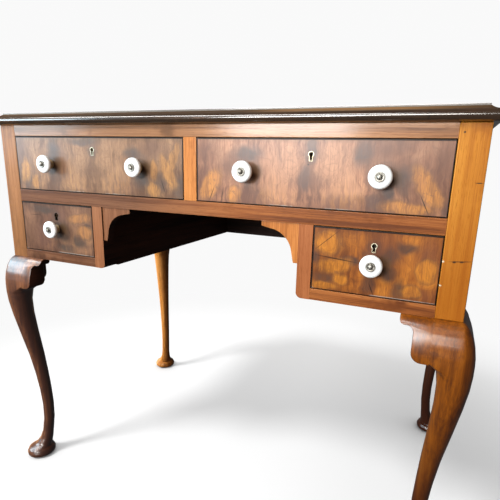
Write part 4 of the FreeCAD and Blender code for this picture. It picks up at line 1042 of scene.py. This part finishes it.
# The drawers
for drawer in DRAWERS:
    body = f"{drawer}_drawer"
    veneer = burr_veneer(f"burr_{drawer}", drawer, GROUNDS[drawer], FIGURES[drawer])
    dressed(f"{drawer}_drawer_front", veneer, body, VENEER_ARRIS)
    dressed(f"{drawer}_drawer_sides", OAK_DEEPWAYS, body)
    dressed(f"{drawer}_drawer_back", OAK_WIDEWAYS, body)
    dressed(f"{drawer}_drawer_bottom", OAK_WIDEWAYS, body, BOTTOM_ARRIS)
    brass = DARK_BRASS if drawer == "lower_left" else BRASS
    dressed(f"{drawer}_escutcheon", brass, body, ESCUTCHEON_ARRIS)
    dressed(f"{drawer}_lock", IRON, body, LOCK_ARRIS)
    dressed(f"{drawer}_lock_bolt", IRON, f"{drawer}_lock_bolt", LOCK_ARRIS)
    knobs(drawer)
    bolts(drawer)


# The stage: a round pale floor that curves up into a pale wall
STAGE_RADIUS = 6.0
STAGE_WALL = 4.0
STAGE_BEND = 3.0
BEND_STEPS = 24
STAGE_STEPS = 96

# Its paper: how far from the desk its glow is lowered so the lamps' shade shows, how far the painted contact
# shadow reaches, where and how much painted shade deepens to the right, and the paper's greys
SHADOW_REACH = (0.55, 1.25)
CONTACT_REACH = 0.07
SHADE_SPAN = (0.0, 0.5)
SHADE_GREY = 0.33
SHADE_FALL = 0.16
PAPER_GREY = 0.60
PAPER_MOTTLE = 0.03
WHITE = 0.95


def stage_paper():
    """Paper whose glow is lowered near the desk so the lamps' shade shows, with painted shade deeper at the
    right, a painted contact shadow round the feet, and plain white further off.
    """
    paper = Finish("stage_paper")
    mottle = paper.noise(paper.here, 2.0, detail=3.0)
    far = paper.step(paper.vector("LENGTH", paper.here, output="Value"), *SHADOW_REACH)
    grey = (PAPER_GREY + (mottle - 0.5) * PAPER_MOTTLE) * (1 - far)
    # Painted contact shadow: the glow dims close to the desk's feet
    open_sky = paper.node("ShaderNodeAmbientOcclusion", {}, {"Distance": CONTACT_REACH}, output="AO")
    # Painted shade, deeper towards the right
    rightward = paper.step(paper.split(paper.here)[0], *SHADE_SPAN)
    shade = SHADE_GREY - rightward * SHADE_FALL
    glow = (shade + far * (WHITE - shade)) * open_sky
    colour = paper.node("ShaderNodeCombineXYZ", {}, {0: grey, 1: grey, 2: grey})
    shine = paper.node("ShaderNodeCombineXYZ", {}, {0: glow, 1: glow, 2: glow})
    return paper.seal(colour, 0.9, specular_ior_level=0.0, emission_color=shine, emission_strength=1.0)


def pale_stage():
    mesh = bmesh.new()
    corners = ((0, 0, 0), (STAGE_RADIUS, 0, 0), (STAGE_RADIUS, 0, STAGE_WALL))
    line = [mesh.verts.new(corner) for corner in corners]
    for pair in zip(line, line[1:]):
        mesh.edges.new(pair)
    bmesh.ops.bevel(
        mesh, geom=[line[1]], affect="VERTICES", offset=STAGE_BEND, segments=BEND_STEPS, profile=0.5,
        material=-1)
    bmesh.ops.spin(
        mesh, geom=[*mesh.verts, *mesh.edges], cent=(0, 0, 0), axis=(0, 0, 1), dvec=(0, 0, 0),
        angle=TURN, steps=STAGE_STEPS, use_merge=True, use_duplicate=False)
    bmesh.ops.remove_doubles(mesh, verts=mesh.verts, dist=WELD)
    smooth(mesh)
    stage = stand("stage", mesh, [stage_paper()])
    stage.visible_diffuse = False
    stage.visible_glossy = False
    stage.visible_shadow = False


def gather(name, *pieces):
    """The pieces that a lamp lights."""
    group = bpy.data.collections.new(name)
    for lit in pieces:
        group.objects.link(bpy.data.objects[lit])
    return group


def lamp(name, kind, place, aim, power, colour, lights):
    """A lamp at a place, turned to its aim, for the pieces that it is given."""
    light = bpy.data.lights.new(name, kind)
    light.energy = power
    light.color = colour
    made = bpy.data.objects.new(name, light)
    made.location = place
    made.rotation_euler = (Vector(aim) - Vector(place)).to_track_quat("-Z", "Y").to_euler()
    bpy.context.scene.collection.objects.link(made)
    made.light_linking.receiver_collection = lights
    return made


def softbox(name, place, aim, size, power, colour, lights):
    made = lamp(name, "AREA", place, aim, power, colour, lights)
    made.data.shape = "RECTANGLE"
    made.data.size, made.data.size_y = size
    return made


# What the lamps light: the whole desk, the floor alone, or a few pieces
pale_stage()
desk = gather("off_stage", "stage")
desk.collection_objects[0].light_linking.link_state = "EXCLUDE"
floor = gather("on_stage", "stage")
left_front = gather("left_front", "front_left_leg_carved", "front_left_knee_brackets_carved")
left_rear = gather("left_rear", "rear_left_leg_carved", "rear_left_knee_bracket_carved")
right_side = gather("right_side", "right_side_panel_dressed")
back_side = gather(
    "behind", "back_panel_dressed", "rear_right_leg_carved", "rear_right_knee_bracket_carved")

DESK_MIDDLE = (0, -0.1, 0.5)
LEFT_SKY = (-2.3, -1.3, 2.0)
PLAIN = (1, 1, 1)
WARM = (1.0, 0.96, 0.90)
DAYLIGHT = (0.93, 0.97, 1.0)
BLUE_SKY = (0.70, 0.88, 1.0)
COLD_SKY = (0.40, 0.80, 1.0)

# The windows: place, aim, width and height, power, colour and what each lights
WINDOWS = (
    ("left_window", (-2.3, -1.3, 1.05), DESK_MIDDLE, (1.5, 0.8), 38, BLUE_SKY, desk),
    ("left_sky", LEFT_SKY, DESK_MIDDLE, (1.5, 1.2), 52, BLUE_SKY, desk),
    ("high_window", (-1.1, -1.7, 2.3), (-0.2, -0.2, 0.5), (2.8, 0.30), 44, PLAIN, desk),
    ("front_window", (-0.62, -2.5, 0.98), (0, -0.2, 0.65), (0.85, 0.40), 31, PLAIN, desk),
    ("near_window", (0.12, -2.7, 1.25), DESK_MIDDLE, (0.75, 0.4), 22, WARM, desk),
    ("side_window", (-2.6, 0.2, 0.7), (-0.4, 0.2, 0.25), (1.0, 1.2), 45, DAYLIGHT, left_rear),
    ("right_window", (2.4, 0.2, 1.2), (0.4, 0, 0.55), (1.2, 1.2), 13, DAYLIGHT, right_side),
    ("back_window", (0.2, 2.6, 1.3), (0, 0.2, 0.5), (1.6, 1.2), 80, DAYLIGHT, back_side),
    ("knee_window", LEFT_SKY, (-0.42, -0.28, 0.35), (1.5, 1.4), 23, COLD_SKY, left_front),
)
windows = {name: softbox(name, *window) for name, *window in WINDOWS}
windows["left_sky"].visible_glossy = False
windows["knee_window"].visible_diffuse = False

# The floor's own light: where it comes from, its power and how wide it is, in degrees
FLOOR_LIGHT = (
    ("floor_sun", (-0.47, -0.65, 1.0), 2.5, 14),
    ("floor_sky", (0, 0, 1), 2.2, 170),
)
for name, place, power, angle in FLOOR_LIGHT:
    floor_lamp = lamp(name, "SUN", place, (0, 0, 0), power, PLAIN, floor)
    floor_lamp.data.angle = math.radians(angle)

ROOM_COLOUR = (0.95, 0.97, 1.0, 1)
ROOM_STRENGTH = 0.08

world = bpy.data.worlds.new("pale_room")
world.use_nodes = True
background = world.node_tree.nodes["Background"].inputs
background["Color"].default_value = ROOM_COLOUR
background["Strength"].default_value = ROOM_STRENGTH
bpy.context.scene.world = world
bpy.context.scene.view_settings.view_transform = "Standard"

# The camera, at the photograph's place and angle
EYE = (0.3825, -0.8724, 0.6828)
CAMERA_YAW = math.radians(22.457)
CAMERA_PITCH = math.radians(-14.055)
CAMERA_ROLL = math.radians(1.639)
SENSOR = 36.0
FRAME_PIXELS = 500
FOCAL_PIXELS = 429.385
AXIS_PIXEL = (259.83, 269.23)
NEAREST = 0.01

camera_data = bpy.data.cameras.new("camera")
camera_data.sensor_width = SENSOR
camera_data.lens = SENSOR * FOCAL_PIXELS / FRAME_PIXELS
camera_data.shift_x = 0.5 - AXIS_PIXEL[0] / FRAME_PIXELS
camera_data.shift_y = AXIS_PIXEL[1] / FRAME_PIXELS - 0.5
camera_data.clip_start = NEAREST
camera = bpy.data.objects.new("camera", camera_data)
camera.matrix_world = (
    Matrix.Translation(EYE)
    @ Matrix.Rotation(CAMERA_YAW, 4, "Z")
    @ Matrix.Rotation(TURN / 4 + CAMERA_PITCH, 4, "X")
    @ Matrix.Rotation(CAMERA_ROLL, 4, "Z")
)
bpy.context.scene.collection.objects.link(camera)
bpy.context.scene.camera = camera
